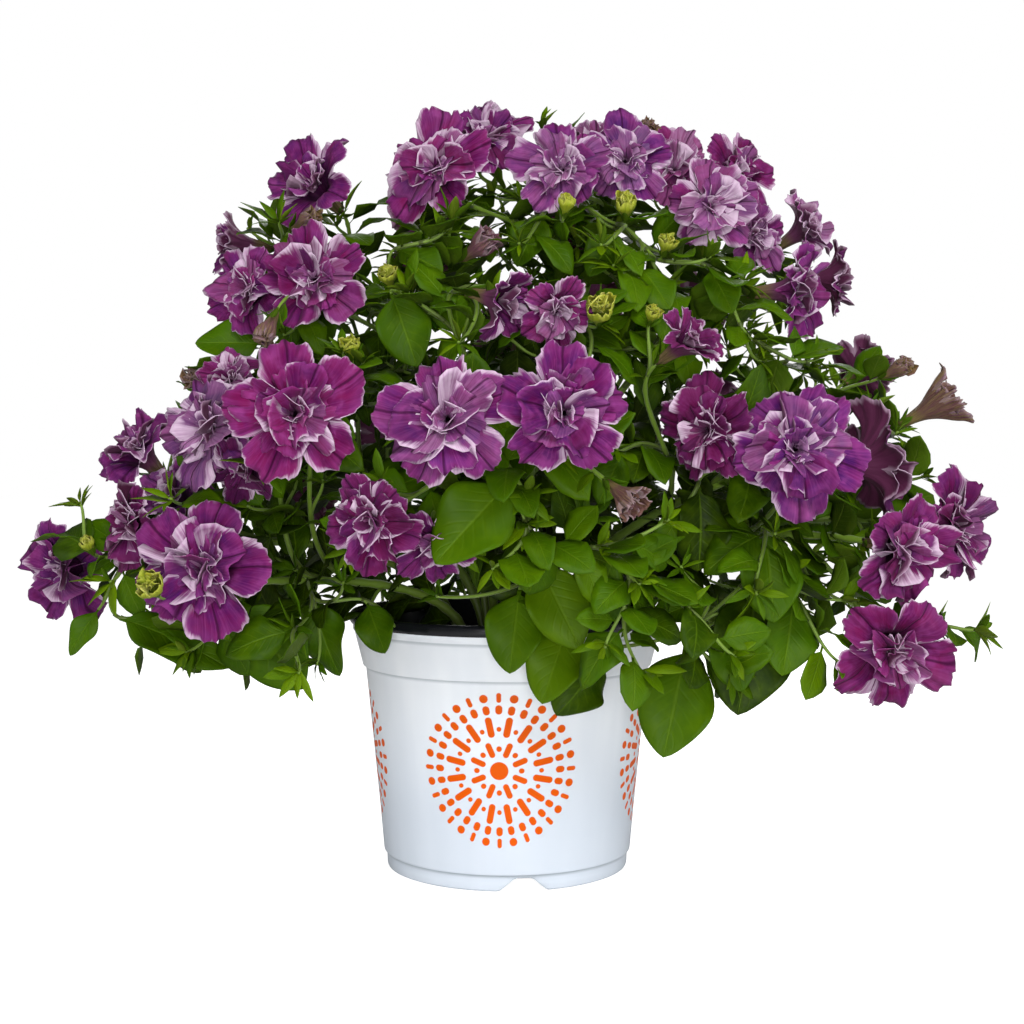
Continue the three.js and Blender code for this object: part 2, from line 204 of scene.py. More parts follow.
# Smaller flowers between those, on thin stalks of their own.
SMALL_FLOWERS: dict[str, FlowerPlace] = {
    "top_a": Place(54, 12, 440, 42, 0, 50, Form.LOOSE, pale=0.7),
    "top_b": Place(44, -30, 420, 42, 0, 25, pale=0.5, deep=0.2),
    "top_c": Place(149, -12, 378, 42, 25, -10, Form.LOOSE, pale=0.7),
    "right_a": Place(204, 30, 357, 44, 85, 0, Form.LOOSE, pale=0.2, deep=0.8),
    "middle_a": Place(27, -138, 324, 38, 10, -15, Form.LOOSE, pale=0.5),
    "left_a": Place(-154, -92, 291, 38, -30, 20, pale=0.5, deep=0.2),
    "left_b": Place(-142, -118, 240, 40, -20, -40, Form.LOOSE, pale=0.1, deep=1.0),
    "left_c": Place(-190, -70, 228, 44, -30, 35, Form.LOOSE, pale=0.6),
    "back_a": Place(-60, 120, 372, 44, -165, 30, pale=0.4),
    "back_b": Place(60, 140, 356, 46, 160, 20, pale=0.5),
    "back_c": Place(150, 160, 286, 44, 140, 15, pale=0.3),
    "back_d": Place(-140, 165, 218, 46, -145, 0, pale=0.4),
    "back_e": Place(30, 208, 238, 46, 175, 5, pale=0.3),
    "bud_a": Place(67, -72, 389, 15, 0, 50, Form.BUD),
    "bud_b": Place(33, -92, 387, 11, 20, 60, Form.BUD),
    "bud_c": Place(48, -142, 325, 18, 0, 35, Form.BUD),
    "bud_d": Place(-65, -96, 347, 13, -20, 50, Form.BUD),
    "bud_e": Place(88, -92, 365, 12, 20, 50, Form.BUD),
    "bud_f": Place(77, -132, 324, 10, 20, 50, Form.BUD),
    "bud_g": Place(-83, -122, 307, 12, -10, 60, Form.BUD),
    "bud_h": Place(-237, -72, 199, 11, -30, 50, Form.BUD),
    "bud_i": Place(-182, -164, 183, 17, -10, 30, Form.BUD),
    "bud_j": Place(120, 120, 372, 13, 150, 50, Form.BUD),
    "bud_k": Place(-40, 150, 365, 14, -170, 50, Form.BUD),
    "bud_l": Place(-150, 130, 300, 13, -130, 40, Form.BUD),
    "bud_m": Place(20, 190, 285, 14, 180, 30, Form.BUD),
    "spent_a": Place(-113, -62, 380, 22, 50, 15, Form.SPENT, wilt=1.0),
    "spent_b": Place(-127, -122, 316, 19, -45, -60, Form.SPENT, wilt=0.9),
    "spent_c": Place(236, -2, 300, 20, 60, 25, Form.SPENT, wilt=1.0),
    "spent_d": Place(-15, -62, 367, 24, 60, 30, Form.SPENT, pale=0.6, wilt=0.6),
    "spent_e": Place(-176, -60, 292, 18, -50, 10, Form.SPENT, deep=1.0, wilt=0.8),
    "spent_f": Place(81, -32, 438, 17, 20, 30, Form.SPENT, wilt=0.9),
    "spent_g": Place(95, 150, 330, 22, 150, 20, Form.SPENT, wilt=0.9),
}


@dataclass(frozen=True)
class ShootPlace:
    """Where a shoot's stem stands, the flower that ends it and its other stalks.

    Each stalk is given by its flower and how far along the stem it starts.
    """

    base: Pair
    end: str
    stalks: dict[str, float]


SHOOTS: dict[str, ShootPlace] = {
    "top": ShootPlace((2, -6), "top_4", {"top_1": 0.62, "top_2": 0.72, "top_3": 0.78}),
    "top_right": ShootPlace(
        (13, 4), "right_1", {"right_2": 0.52, "top_7": 0.6, "top_5": 0.66, "top_6": 0.76}
    ),
    "top_left": ShootPlace((-12, 0), "left_2", {"left_4": 0.5, "left_3": 0.62, "left_1": 0.72}),
    "front_left": ShootPlace((-8, -20), "front_1", {"front_4": 0.5, "front_3": 0.6}),
    "front_right": ShootPlace((10, -20), "front_2", {"mid_1": 0.4, "front_5": 0.62}),
    "right_front": ShootPlace((24, -14), "right_5", {"right_3": 0.5, "right_4": 0.64}),
    "right_low": ShootPlace((32, -4), "right_9", {"right_6": 0.6, "right_11": 0.7}),
    "right_side": ShootPlace((30, 8), "right_10", {"right_7": 0.5, "right_8": 0.62}),
    "left_front": ShootPlace((-22, -14), "left_10", {"left_5": 0.5, "left_6": 0.62}),
    "left_side": ShootPlace((-28, 2), "left_9", {"left_7": 0.55, "left_8": 0.68}),
    "back_left": ShootPlace(
        (-14, 18), "back_8", {"back_1": 0.44, "back_3": 0.54, "back_6": 0.58, "back_10": 0.72}
    ),
    "back_right": ShootPlace(
        (10, 20),
        "back_7",
        {"back_2": 0.3, "back_4": 0.42, "back_5": 0.52, "back_9": 0.58, "back_12": 0.7, "back_11": 0.78},
    ),
}


# Colour and node helpers ---------------------------------------------------


def linear(hex_colour: str) -> tuple[float, ...]:
    """An sRGB hex colour as linear RGBA."""
    channels = [int(hex_colour[i : i + 2], 16) / 255 for i in (1, 3, 5)]
    return (*(c / 12.92 if c <= 0.04045 else ((c + 0.055) / 1.055) ** 2.4 for c in channels), 1.0)


def add_node(tree: bpy.types.NodeTree, kind: str, values: Values | None = None) -> bpy.types.Node:
    """Adds a node to a tree.

    Args:
        tree: The shader or geometry tree.
        kind: The node's type name.
        values: The node's properties by name, then what its named or numbered inputs
            take: a socket is linked, anything else is the input's own value.

    Returns:
        The new node.
    """
    node = tree.nodes.new(kind)
    for key, value in (values or {}).items():
        if isinstance(value, Socket):
            tree.links.new(value, node.inputs[key])
        elif isinstance(key, str) and hasattr(node, key):
            setattr(node, key, value)
        else:
            node.inputs[key].default_value = value
    return node


class Shader:
    """A material in the making, around one Principled surface."""

    def __init__(self, name: str, **surface: Any) -> None:
        """Starts a material whose Principled inputs have the given values."""
        self.material = bpy.data.materials.new(name)
        self.material.use_nodes = True
        self.tree = self.material.node_tree
        self.surface = self.tree.nodes["Principled BSDF"]
        for key, value in surface.items():
            self.surface.inputs[key.replace("_", " ")].default_value = value

    def node(self, kind: str, values: Values | None = None) -> bpy.types.Node:
        """Adds a shader node to this material."""
        return add_node(self.tree, "ShaderNode" + kind, values)

    def attribute(self, name: str) -> Socket:
        """The value of a point attribute of the piece."""
        return self.node("Attribute", {"attribute_name": name}).outputs["Fac"]

    def place(self) -> Socket:
        """The point in the row frame, in metres."""
        return self.node("TexCoord").outputs["Object"]

    def math(self, operation: str, *terms: Any, clamp: bool = False) -> Socket:
        """A math node on sockets and numbers."""
        values = {"operation": operation, "use_clamp": clamp, **dict(enumerate(terms))}
        return self.node("Math", values).outputs[0]

    def times(self, first: Any, *others: Any) -> Socket:
        """The product of sockets and numbers."""
        for other in others:
            first = self.math("MULTIPLY", first, other)
        return first

    def plus(self, first: Any, *others: Any) -> Socket:
        """The sum of sockets and numbers."""
        for other in others:
            first = self.math("ADD", first, other)
        return first

    def minus(self, first: Any, second: Any) -> Socket:
        """The difference of two sockets or numbers."""
        return self.math("SUBTRACT", first, second)

    def hypotenuse(self, first: Socket, second: Socket) -> Socket:
        """The length of a vector from its two parts."""
        squares = self.plus(self.math("POWER", first, 2.0), self.math("POWER", second, 2.0))
        return self.math("SQRT", squares)

    def ramp(self, value: Socket, low: Any, high: Any, start: Any = 0.0, end: Any = 1.0) -> Socket:
        """Maps a value smoothly from low..high to start..end."""
        values = {"interpolation_type": "SMOOTHSTEP", "Value": value}
        values.update({"From Min": low, "From Max": high, "To Min": start, "To Max": end})
        return self.node("MapRange", values).outputs["Result"]

    def vector(self, *parts: Any) -> Socket:
        """A vector from three sockets or numbers."""
        return self.node("CombineXYZ", dict(enumerate(parts))).outputs[0]

    def noise(self, place: Socket, scale: float, detail: float = 2.0) -> Socket:
        """The value of a noise texture at a place."""
        values = {"Vector": place, "Scale": scale, "Detail": detail, "Roughness": 0.55}
        return self.node("TexNoise", values).outputs["Fac"]

    def mix(self, amount: Any, *colours: Socket | str) -> Socket:
        """A colour between two colours, each a socket or an sRGB hex value."""
        values: Values = {"data_type": "RGBA", 0: amount}
        for i, colour in enumerate(colours, start=6):
            values[i] = linear(colour) if isinstance(colour, str) else colour
        return self.node("Mix", values).outputs[2]

    def bump(self, height: Socket, strength: float, distance: float) -> None:
        """Sets the surface's bump, with its depth in mm."""
        values = {"Strength": strength, "Distance": distance * MM, "Height": height}
        self.link(self.node("Bump", values).outputs[0], "Normal")

    def link(self, socket: Socket, name: str) -> None:
        """Feeds one of the surface's inputs."""
        self.tree.links.new(socket, self.surface.inputs[name])


# Finishes ------------------------------------------------------------------


def petal_noise(
    s: Shader, across: float, along: float, scale: float = 1.0, detail: float = 3.0, shift: float = 0.0
) -> Socket:
    """Noise over a petal, its own for each seed.

    Args:
        s: The shader to build in.
        across: How often it repeats over half of the petal's width.
        along: How often it repeats along the petal.
        scale: The scale of the noise.
        detail: Its detail.
        shift: Added to the seed.

    Returns:
        The value of the noise.
    """
    u, v = s.times(s.attribute("across"), across), s.times(s.attribute("along"), along)
    return s.noise(s.vector(u, v, s.plus(s.attribute("seed"), shift)), scale, detail)


@dataclass(frozen=True)
class PetalFace:
    """The upper face of a petal: velvety cells with a dark midvein and white margins.

    Attributes read: across (-1 to 1 over the petal), along (0 at its base), margin
    (mm to its nearest edge), pale, deep, warm and wilt (0 to 1) and seed. The white rim
    is at least rim wide, in mm.
    """

    name: str = "petal_face"
    violet: str = "#431459"
    magenta: str = "#6f0e4a"
    light: str = "#923e84"
    deep: str = "#260420"
    vein: str = "#2c0424"
    lilac: str = "#aa84a6"
    margin: str = "#c8b0c5"
    withered: str = "#66542e"
    rim: float = 0.5

    def build(self) -> Material:
        """Makes the material."""
        s = Shader(
            self.name,
            Roughness=0.6,
            Specular_IOR_Level=0.06,
            Subsurface_Weight=0.08,
            Subsurface_Radius=(0.9, 0.4, 0.9),
            Subsurface_Scale=1.0 * MM,
            Sheen_Weight=0.02,
            Sheen_Roughness=0.5,
        )
        across, along = s.attribute("across"), s.attribute("along")
        fine = petal_noise(s, 23.0, 1.0)
        blot = petal_noise(s, 1.0, 1.6, 2.1, 2.0)
        cloud = petal_noise(s, 1.0, 2.2, 1.9, 2.0, 7.3)
        crinkle = petal_noise(s, 7.5, 3.4)
        midvein = s.ramp(s.math("ABSOLUTE", across), 0.006, 0.055, 1.0, 0.0)
        veins = s.math("MAXIMUM", midvein, self._branch_veins(s, across, along))
        # The ground goes from violet to magenta in soft blots, lighter in clouds and streaks.
        warm = s.math("ADD", s.attribute("warm"), s.math("MULTIPLY_ADD", blot, 1.6, -0.8), clamp=True)
        colour = s.mix(warm, self.violet, self.magenta)
        colour = s.mix(s.ramp(cloud, 0.44, 0.8, 0.0, 0.65), colour, self.light)
        colour = s.mix(s.ramp(fine, 0.4, 0.75, 0.0, 0.3), colour, self.light)
        colour = s.mix(s.ramp(s.attribute("margin"), 0.0, 9.0, 0.28, 0.0), colour, self.light)
        # It is darker all over in a deep flower, and painted shade darkens the throat, where the inner
        # petals cover it.
        colour = s.mix(s.times(s.attribute("deep"), 0.65), colour, self.deep)
        colour = s.mix(s.ramp(along, 0.0, 0.65, 0.85, 0.0), colour, self.deep)
        # A pale flower has a lilac veil, broken by the streaks.
        veil = s.ramp(s.attribute("pale"), 0.2, 1.0, 0.0, 0.9)
        colour = s.mix(s.times(veil, s.ramp(fine, 0.25, 0.7, 0.35, 1.0)), colour, self.lilac)
        colour = s.mix(s.times(veins, 0.75), colour, self.vein)
        colour = s.mix(self._white(s, fine), colour, self.margin)
        wilt = s.times(s.attribute("wilt"), s.ramp(blot, 0.2, 0.6, 0.6, 1.0))
        s.link(s.mix(wilt, colour, self.withered), "Base Color")
        s.bump(s.plus(fine, s.times(crinkle, 2.6), s.times(midvein, -1.2)), 0.7, 0.45)
        return s.material

    def _branch_veins(self, s: Shader, across: Socket, along: Socket) -> Socket:
        """Faint veins that fan out from the midvein towards the edge."""
        fan = s.minus(s.times(s.math("ABSOLUTE", across), 5.0), s.times(along, 1.2))
        line = s.ramp(s.math("PINGPONG", fan, 0.5), 0.0, 0.09, 0.28, 0.0)
        return s.times(line, s.ramp(along, 0.1, 0.95, 1.0, 0.0))

    def _white(self, s: Shader, fine: Socket) -> Socket:
        """How white the petal is.

        The white is a soft rim, broken where the midvein meets it. Towards the petal's
        shoulders it widens by a different amount on each side, and it breaks up
        inwards along the streaks.
        """
        across, along, pale = s.attribute("across"), s.attribute("along"), s.attribute("pale")
        margin, edge = s.attribute("margin"), s.math("ABSOLUTE", across)
        patch = petal_noise(s, 1.3, 0.7, 1.0, 1.0)
        # A soft rim that comes and goes along the edge.
        rim = s.ramp(margin, 0.0, s.ramp(fine, 0.35, 0.75, self.rim, 5 * self.rim), 1.0, 0.0)
        rim = s.times(rim, s.ramp(petal_noise(s, 6.5, 0.6), 0.42, 0.7, 0.05, 0.62))
        # Feathered patches on the shoulders, or over the whole petal where it is pale.
        reach = s.math("MULTIPLY_ADD", pale, 11.0, 3.2)
        width = s.times(s.ramp(edge, 0.2, 0.9), s.ramp(patch, 0.38, 0.56), reach)
        inner = s.times(s.ramp(pale, 0.3, 1.0, 0.0, 5.0), s.ramp(patch, 0.46, 0.66))
        depth = s.math("DIVIDE", margin, s.plus(width, inner, 0.05))
        feathered = s.plus(depth, s.math("MULTIPLY_ADD", fine, 2.2, -1.1))
        splash = s.ramp(feathered, 0.0, 1.3, 0.9, 0.0)
        white = s.times(s.math("MAXIMUM", rim, splash), s.ramp(edge, 0.02, 0.14))
        return s.times(white, s.ramp(along, 0.25, 0.6))


@dataclass(frozen=True)
class PetalBack:
    """The under face of a petal: duller, with its veins standing out, and a brown tube."""

    name: str = "petal_back"
    body: str = "#744064"
    dusk: str = "#461832"
    vein: str = "#3a142a"
    margin: str = "#bfa6ba"
    tube: str = "#6c6038"
    withered: str = "#6e6038"

    def build(self) -> Material:
        """Makes the material."""
        s = Shader(
            self.name,
            Roughness=0.62,
            Specular_IOR_Level=0.08,
            Subsurface_Weight=0.08,
            Subsurface_Radius=(0.9, 0.5, 0.9),
            Subsurface_Scale=1.0 * MM,
            Sheen_Weight=0.02,
            Sheen_Roughness=0.5,
        )
        fine = petal_noise(s, 14.0, 1.4, 1.4)
        midvein = s.ramp(s.math("ABSOLUTE", s.attribute("across")), 0.02, 0.12, 0.8, 0.0)
        lines = s.math("MAXIMUM", s.ramp(fine, 0.45, 0.7, 0.0, 0.7), midvein)
        colour = s.mix(s.attribute("deep"), self.body, self.dusk)
        colour = s.mix(s.ramp(s.attribute("margin"), 0.2, 3.5, 0.5, 0.0), colour, self.margin)
        colour = s.mix(s.ramp(s.attribute("along"), -0.45, 0.1, 0.85, 0.0), colour, self.tube)
        colour = s.mix(s.times(lines, 0.6), colour, self.vein)
        wilt = s.times(s.attribute("wilt"), s.ramp(fine, 0.4, 0.6, 1.0, 0.2))
        s.link(s.mix(wilt, colour, self.withered), "Base Color")
        s.bump(fine, 0.5, 0.3)
        return s.material


BUD_FACE = PetalFace(
    "bud_face", "#848a1c", "#90901e", "#b0ae38", "#5c6a14", "#5a6418", "#b8b85c", "#c0c064", rim=0.2
)
BUD_BACK = PetalBack("bud_back", "#909a22", "#6c7a1a", "#5f6e1a", "#b4b650", "#7c8c24")


@dataclass(frozen=True)
class LeafFace:
    """The upper face of a leaf: soft satin, with pale veins sunk into it.

    Attributes read: across, along and tint (0 to 1, from shaded to young growth).
    """

    name: str = "leaf_face"
    dark: str = "#152300"
    body: str = "#385800"
    young: str = "#5c7800"
    vein: str = "#5c7a12"
    roughness: float = 0.5

    def build(self) -> Material:
        """Makes the material."""
        s = Shader(
            self.name,
            Roughness=self.roughness,
            Specular_IOR_Level=0.09,
            Subsurface_Weight=0.1,
            Subsurface_Radius=(0.5, 0.9, 0.1),
            Subsurface_Scale=1.2 * MM,
        )
        mottle = s.noise(s.place(), 90.0, 3.0)
        side, tint = s.math("ABSOLUTE", s.attribute("across")), s.attribute("tint")
        # Side veins leave the midrib at a slant, eight to a leaf, and fade at its edge.
        slant = s.minus(s.times(s.attribute("along"), 8.0), s.times(side, 2.6))
        ribs = s.ramp(s.math("PINGPONG", slant, 0.5), 0.0, 0.2, 1.0, 0.0)
        ribs = s.times(ribs, s.ramp(side, 0.3, 0.95, 1.0, 0.0))
        midrib = s.ramp(side, 0.01, 0.07, 1.0, 0.0)
        # Low tints take the dark green: partly older leaves, partly painted shade deep in the crown.
        colour = s.mix(s.ramp(tint, 0.0, 0.5), self.dark, self.body)
        colour = s.mix(s.ramp(tint, 0.5, 1.0), colour, self.young)
        colour = s.mix(s.ramp(mottle, 0.35, 0.8, 0.0, 0.3), colour, self.young)
        colour = s.mix(s.times(ribs, 0.1), colour, self.vein)
        colour = s.mix(s.times(midrib, 0.4), colour, self.vein)
        s.link(colour, "Base Color")
        sunk = s.plus(s.times(ribs, -0.4), s.times(midrib, -1.0))
        s.bump(s.plus(sunk, s.times(mottle, 0.5)), 0.6, 0.5)
        return s.material


LEAF_UNDER = LeafFace("leaf_under", "#1a2802", "#405a0a", "#5c7018", "#687c2c", 0.6)


@dataclass(frozen=True)
class StemSkin:
    """Pale green stems, finely mottled and duskier where they are old."""

    young: str = "#6a8628"
    old: str = "#414f14"
    fleck: str = "#5f7a30"

    def build(self) -> Material:
        """Makes the material."""
        s = Shader("stem_skin", Roughness=0.5, Specular_IOR_Level=0.35, Sheen_Weight=0.1)
        mottle = s.noise(s.place(), 160.0, 3.0)
        colour = s.mix(s.ramp(s.attribute("along"), 0.0, 0.6), self.old, self.young)
        colour = s.mix(s.ramp(mottle, 0.4, 0.8, 0.0, 0.4), colour, self.fleck)
        s.link(colour, "Base Color")
        s.bump(mottle, 0.4, 0.4)
        return s.material


@dataclass(frozen=True)
class PotPrint:
    """Where the printed medallions lie on the pot and how large they are, in mm."""

    level: float = 71.0
    wall_radius: float = 80.5
    turn: float = -3.0
    medallions: int = 4
    hub: float = 5.2
    rays: int = 16
    soft_edge: float = 0.2


@dataclass(frozen=True)
class PotWhite:
    """Thin formed polypropylene, white and softly glossy, with orange ink on it.

    Its colour is painted lighter towards the band and darker towards the foot, painted light and shade
    that even out how the lamps fall on it, and a thin line of painted shade lies below each of
    its three creases, whose heights are in mm.
    """

    plastic: str = "#f1f5fa"
    foot_painted_shade: str = "#d2dae4"
    shade: str = "#bfc9d5"
    ink: str = "#de5800"
    crease_shade: str = "#8f9aa0"
    creases: tuple[float, ...] = (122.0, 143.6, 9.6)
    roughness: float = 0.34
    layout: PotPrint = field(default_factory=PotPrint)

    def build(self) -> Material:
        """Makes the material."""
        s = Shader(
            "polypropylene_white",
            Roughness=self.roughness,
            Specular_IOR_Level=0.1,
            Subsurface_Weight=0.08,
            Subsurface_Radius=(1.0, 1.0, 1.0),
            Subsurface_Scale=1.0 * MM,
        )
        x, y, z = s.node("SeparateXYZ", {"Vector": s.place()}).outputs
        ink = self._ink(s, x, y, z)
        haze = s.noise(s.vector(x, y, s.times(z, 0.12)), 55.0)
        height = s.times(z, 1 / MM)
        # Painted light and shade: the wall is lighter towards the band and darker towards the foot.
        colour = s.mix(s.ramp(height, 30.0, 125.0), self.foot_painted_shade, self.plastic)
        colour = s.mix(s.ramp(haze, 0.3, 0.75, 0.2, 0.0), colour, self.shade)
        # Painted shade fades in below each crease and stops just above it.
        for level in self.creases:
            below = s.ramp(height, level - 2.4, level - 0.3)
            crease_shade = s.times(below, s.ramp(height, level, level + 0.5, 0.5, 0.0))
            colour = s.mix(crease_shade, colour, self.crease_shade)
        s.link(s.mix(ink, colour, self.ink), "Base Color")
        s.link(s.math("MULTIPLY_ADD", ink, 0.12, self.roughness), "Roughness")
        s.bump(haze, 0.12, 0.3)
        return s.material

    def _ink(self, s: Shader, x: Socket, y: Socket, z: Socket) -> Socket:
        """Where the ink is: a sunburst of bars and dots in each medallion.

        Args:
            s: The shader to build in.
            x: The point's x in metres.
            y: The point's y in metres.
            z: The point's z in metres.

        Returns:
            A value that is 1 on the ink.
        """
        p = self.layout
        sector = 2 * math.pi / p.medallions
        azimuth = s.math("ARCTAN2", x, s.times(y, -1.0))
        turned = s.plus(azimuth, sector / 2 + 2 * math.pi - math.radians(p.turn))
        within = s.minus(s.math("MODULO", turned, sector), sector / 2)
        side = s.times(within, p.wall_radius)
        rise = s.math("MULTIPLY_ADD", z, 1 / MM, -p.level)
        radius = s.hypotenuse(side, rise)
        angle = s.plus(s.math("ARCTAN2", side, rise), 4 * math.pi)
        ink = self._inside(s, radius, p.hub)
        for count, shift, near, far, half in self._marks():
            step = 2 * math.pi / count
            turn = s.math("MODULO", s.plus(angle, shift * step), step)
            local = s.minus(turn, step / 2)
            lateral = s.times(radius, s.math("SINE", local))
            forward = s.times(radius, s.math("COSINE", local))
            over = s.math("MAXIMUM", s.minus(forward, far), s.minus(near, forward))
            gap = s.hypotenuse(lateral, s.math("MAXIMUM", over, 0.0))
            ink = s.math("MAXIMUM", ink, self._inside(s, gap, half))
        return ink

    def _inside(self, s: Shader, gap: Socket, half: float) -> Socket:
        """A value that falls from 1 to 0 over the soft edge of a mark."""
        soft = self.layout.soft_edge
        return s.ramp(gap, half - soft, half + soft, 1.0, 0.0)

    def _marks(self) -> list[tuple[int, float, float, float, float]]:
        """Rings of round-ended marks: count, share of a step turned, ends and half width."""
        rays = self.layout.rays
        return [
            (rays // 2, 0.0, 10.0, 15.5, 1.7),
            (rays // 2, 0.5, 12.6, 12.8, 1.5),
            (rays, 0.0, 21.5, 29.5, 1.9),
            (rays, 0.5, 24.0, 24.2, 1.3),
            (2 * rays, 0.5, 34.5, 36.0, 1.9),
            (rays, 0.0, 42.0, 42.2, 2.3),
            (rays, 0.5, 40.6, 43.6, 1.3),
        ]


@dataclass(frozen=True)
class PotBlack:
    """The black inner skin of the pot, which the rolled lip shows: glossy plastic."""

    plastic: str = "#111216"
    smear: str = "#24262c"

    def build(self) -> Material:
        """Makes the material."""
        s = Shader("polypropylene_black", Roughness=0.22)
        smear = s.noise(s.place(), 60.0)
        s.link(s.mix(s.ramp(smear, 0.4, 0.8, 0.0, 0.2), self.plastic, self.smear), "Base Color")
        s.link(s.ramp(smear, 0.3, 0.8, 0.2, 0.27), "Roughness")
        return s.material


@dataclass(frozen=True)
class Peat:
    """Dark moist peat and bark: rough and crumbly, nearly black."""

    dark: str = "#120d09"
    light: str = "#3a2a1c"

    def build(self) -> Material:
        """Makes the material."""
        s = Shader("peat", Roughness=0.92)
        grain = s.noise(s.place(), 420.0, 5.0)
        s.link(s.mix(s.ramp(grain, 0.4, 0.75), self.dark, self.light), "Base Color")
        s.bump(grain, 0.9, 1.2)
        return s.material


@dataclass(frozen=True)
class PlainStage:
    """The pale floor of the studio, lit from within so that it stays white far away."""

    colour: str = "#c8c8c8"
    glow: float = 0.96

    def build(self) -> Material:
        """Makes the material."""
        white = linear("#ffffff")
        s = Shader("studio_floor", Roughness=0.9, Base_Color=linear(self.colour), Emission_Color=white)
        s.link(s.times(s.node("LightPath").outputs["Is Camera Ray"], self.glow), "Emission Strength")
        return s.material


# Mesh helpers --------------------------------------------------------------


class MeshDraft:
    """Vertices, faces and point attributes of a mesh in the making, in mm."""

    def __init__(self) -> None:
        """Starts an empty draft."""
        self.points: list[Array] = []
        self.values: dict[str, list[Array]] = {}
        self.faces: list[Array] = []
        self.slots: list[Array] = []
        self.count = 0

    def add_grid(
        self,
        points: Array,
        values: dict[str, Any],
        slot: int | Array = 0,
        wrap: bool = False,
        flip: bool = False,
    ) -> None:
        """Adds a grid of quads.

        Args:
            points: An array of rows by columns by three.
            values: The attributes, each a number or an array of rows by columns.
            slot: The material slot of its faces, or one for each row of them.
            wrap: Whether the last column joins the first.
            flip: Whether its columns are taken backwards, which turns its faces over.
        """
        rows, columns = points.shape[:2]
        order = -1 if flip else 1
        index = np.arange(rows * columns).reshape(rows, columns) + self.count
        following = np.roll(index, -1, axis=1) if wrap else index[:, 1:]
        here = index if wrap else index[:, :-1]
        quads = np.stack([here[:-1], following[:-1], following[1:], here[1:]], axis=-1)
        self.points.append(points[:, ::order].reshape(-1, 3))
        for key, value in values.items():
            full = np.broadcast_to(np.asarray(value, dtype=float), (rows, columns))
            self.values.setdefault(key, []).append(full[:, ::order].reshape(-1))
        self.faces.append(quads.reshape(-1, 4))
        self.slots.append(np.broadcast_to(np.reshape(slot, (-1, 1)), here[:-1].shape).reshape(-1))
        self.count += rows * columns

    def build(self, name: str, materials: Sequence[Material]) -> Piece:
        """Makes the object, at the origin, with its place in its mesh."""
        points = np.concatenate(self.points) * MM
        faces = np.concatenate(self.faces)
        mesh = bpy.data.meshes.new(name)
        mesh.vertices.add(len(points))
        mesh.vertices.foreach_set("co", points.astype(np.float32).ravel())
        mesh.loops.add(faces.size)
        mesh.loops.foreach_set("vertex_index", faces.astype(np.int32).ravel())
        mesh.polygons.add(len(faces))
        mesh.polygons.foreach_set("loop_start", np.arange(0, faces.size, 4, dtype=np.int32))
        mesh.polygons.foreach_set("material_index", np.concatenate(self.slots).astype(np.int32))
        mesh.update(calc_edges=True)
        mesh.polygons.foreach_set("use_smooth", np.ones(len(faces), dtype=bool))
        for key, parts in self.values.items():
            layer = mesh.attributes.new(key, "FLOAT", "POINT")
            layer.data.foreach_set("value", np.concatenate(parts).astype(np.float32))
        for material in materials:
            mesh.materials.append(material)
        mesh.validate()
        return put(name, mesh)


def put(name: str, data: Any) -> Piece:
    """Puts a new object with its data into the scene, at the origin."""
    piece = bpy.data.objects.new(name, data)
    bpy.context.scene.collection.objects.link(piece)
    return piece


def settle(piece: Piece) -> Piece:
    """Turns a piece's modifiers into plain mesh and removes them."""
    graph = bpy.context.evaluated_depsgraph_get()
    finished = bpy.data.meshes.new_from_object(piece.evaluated_get(graph))
    piece.modifiers.clear()
    old, piece.data = piece.data, finished
    if old.users == 0:
        bpy.data.meshes.remove(old)
    return piece


def weld(piece: Piece, gap: float = 0.001) -> Piece:
    """Joins the points of a piece that lie within a gap in mm, as at its poles."""
    mesh = bmesh.new()
    mesh.from_mesh(piece.data)
    bmesh.ops.remove_doubles(mesh, verts=mesh.verts, dist=gap * MM)
    bmesh.ops.recalc_face_normals(mesh, faces=mesh.faces)
    mesh.to_mesh(piece.data)
    mesh.free()
    return piece


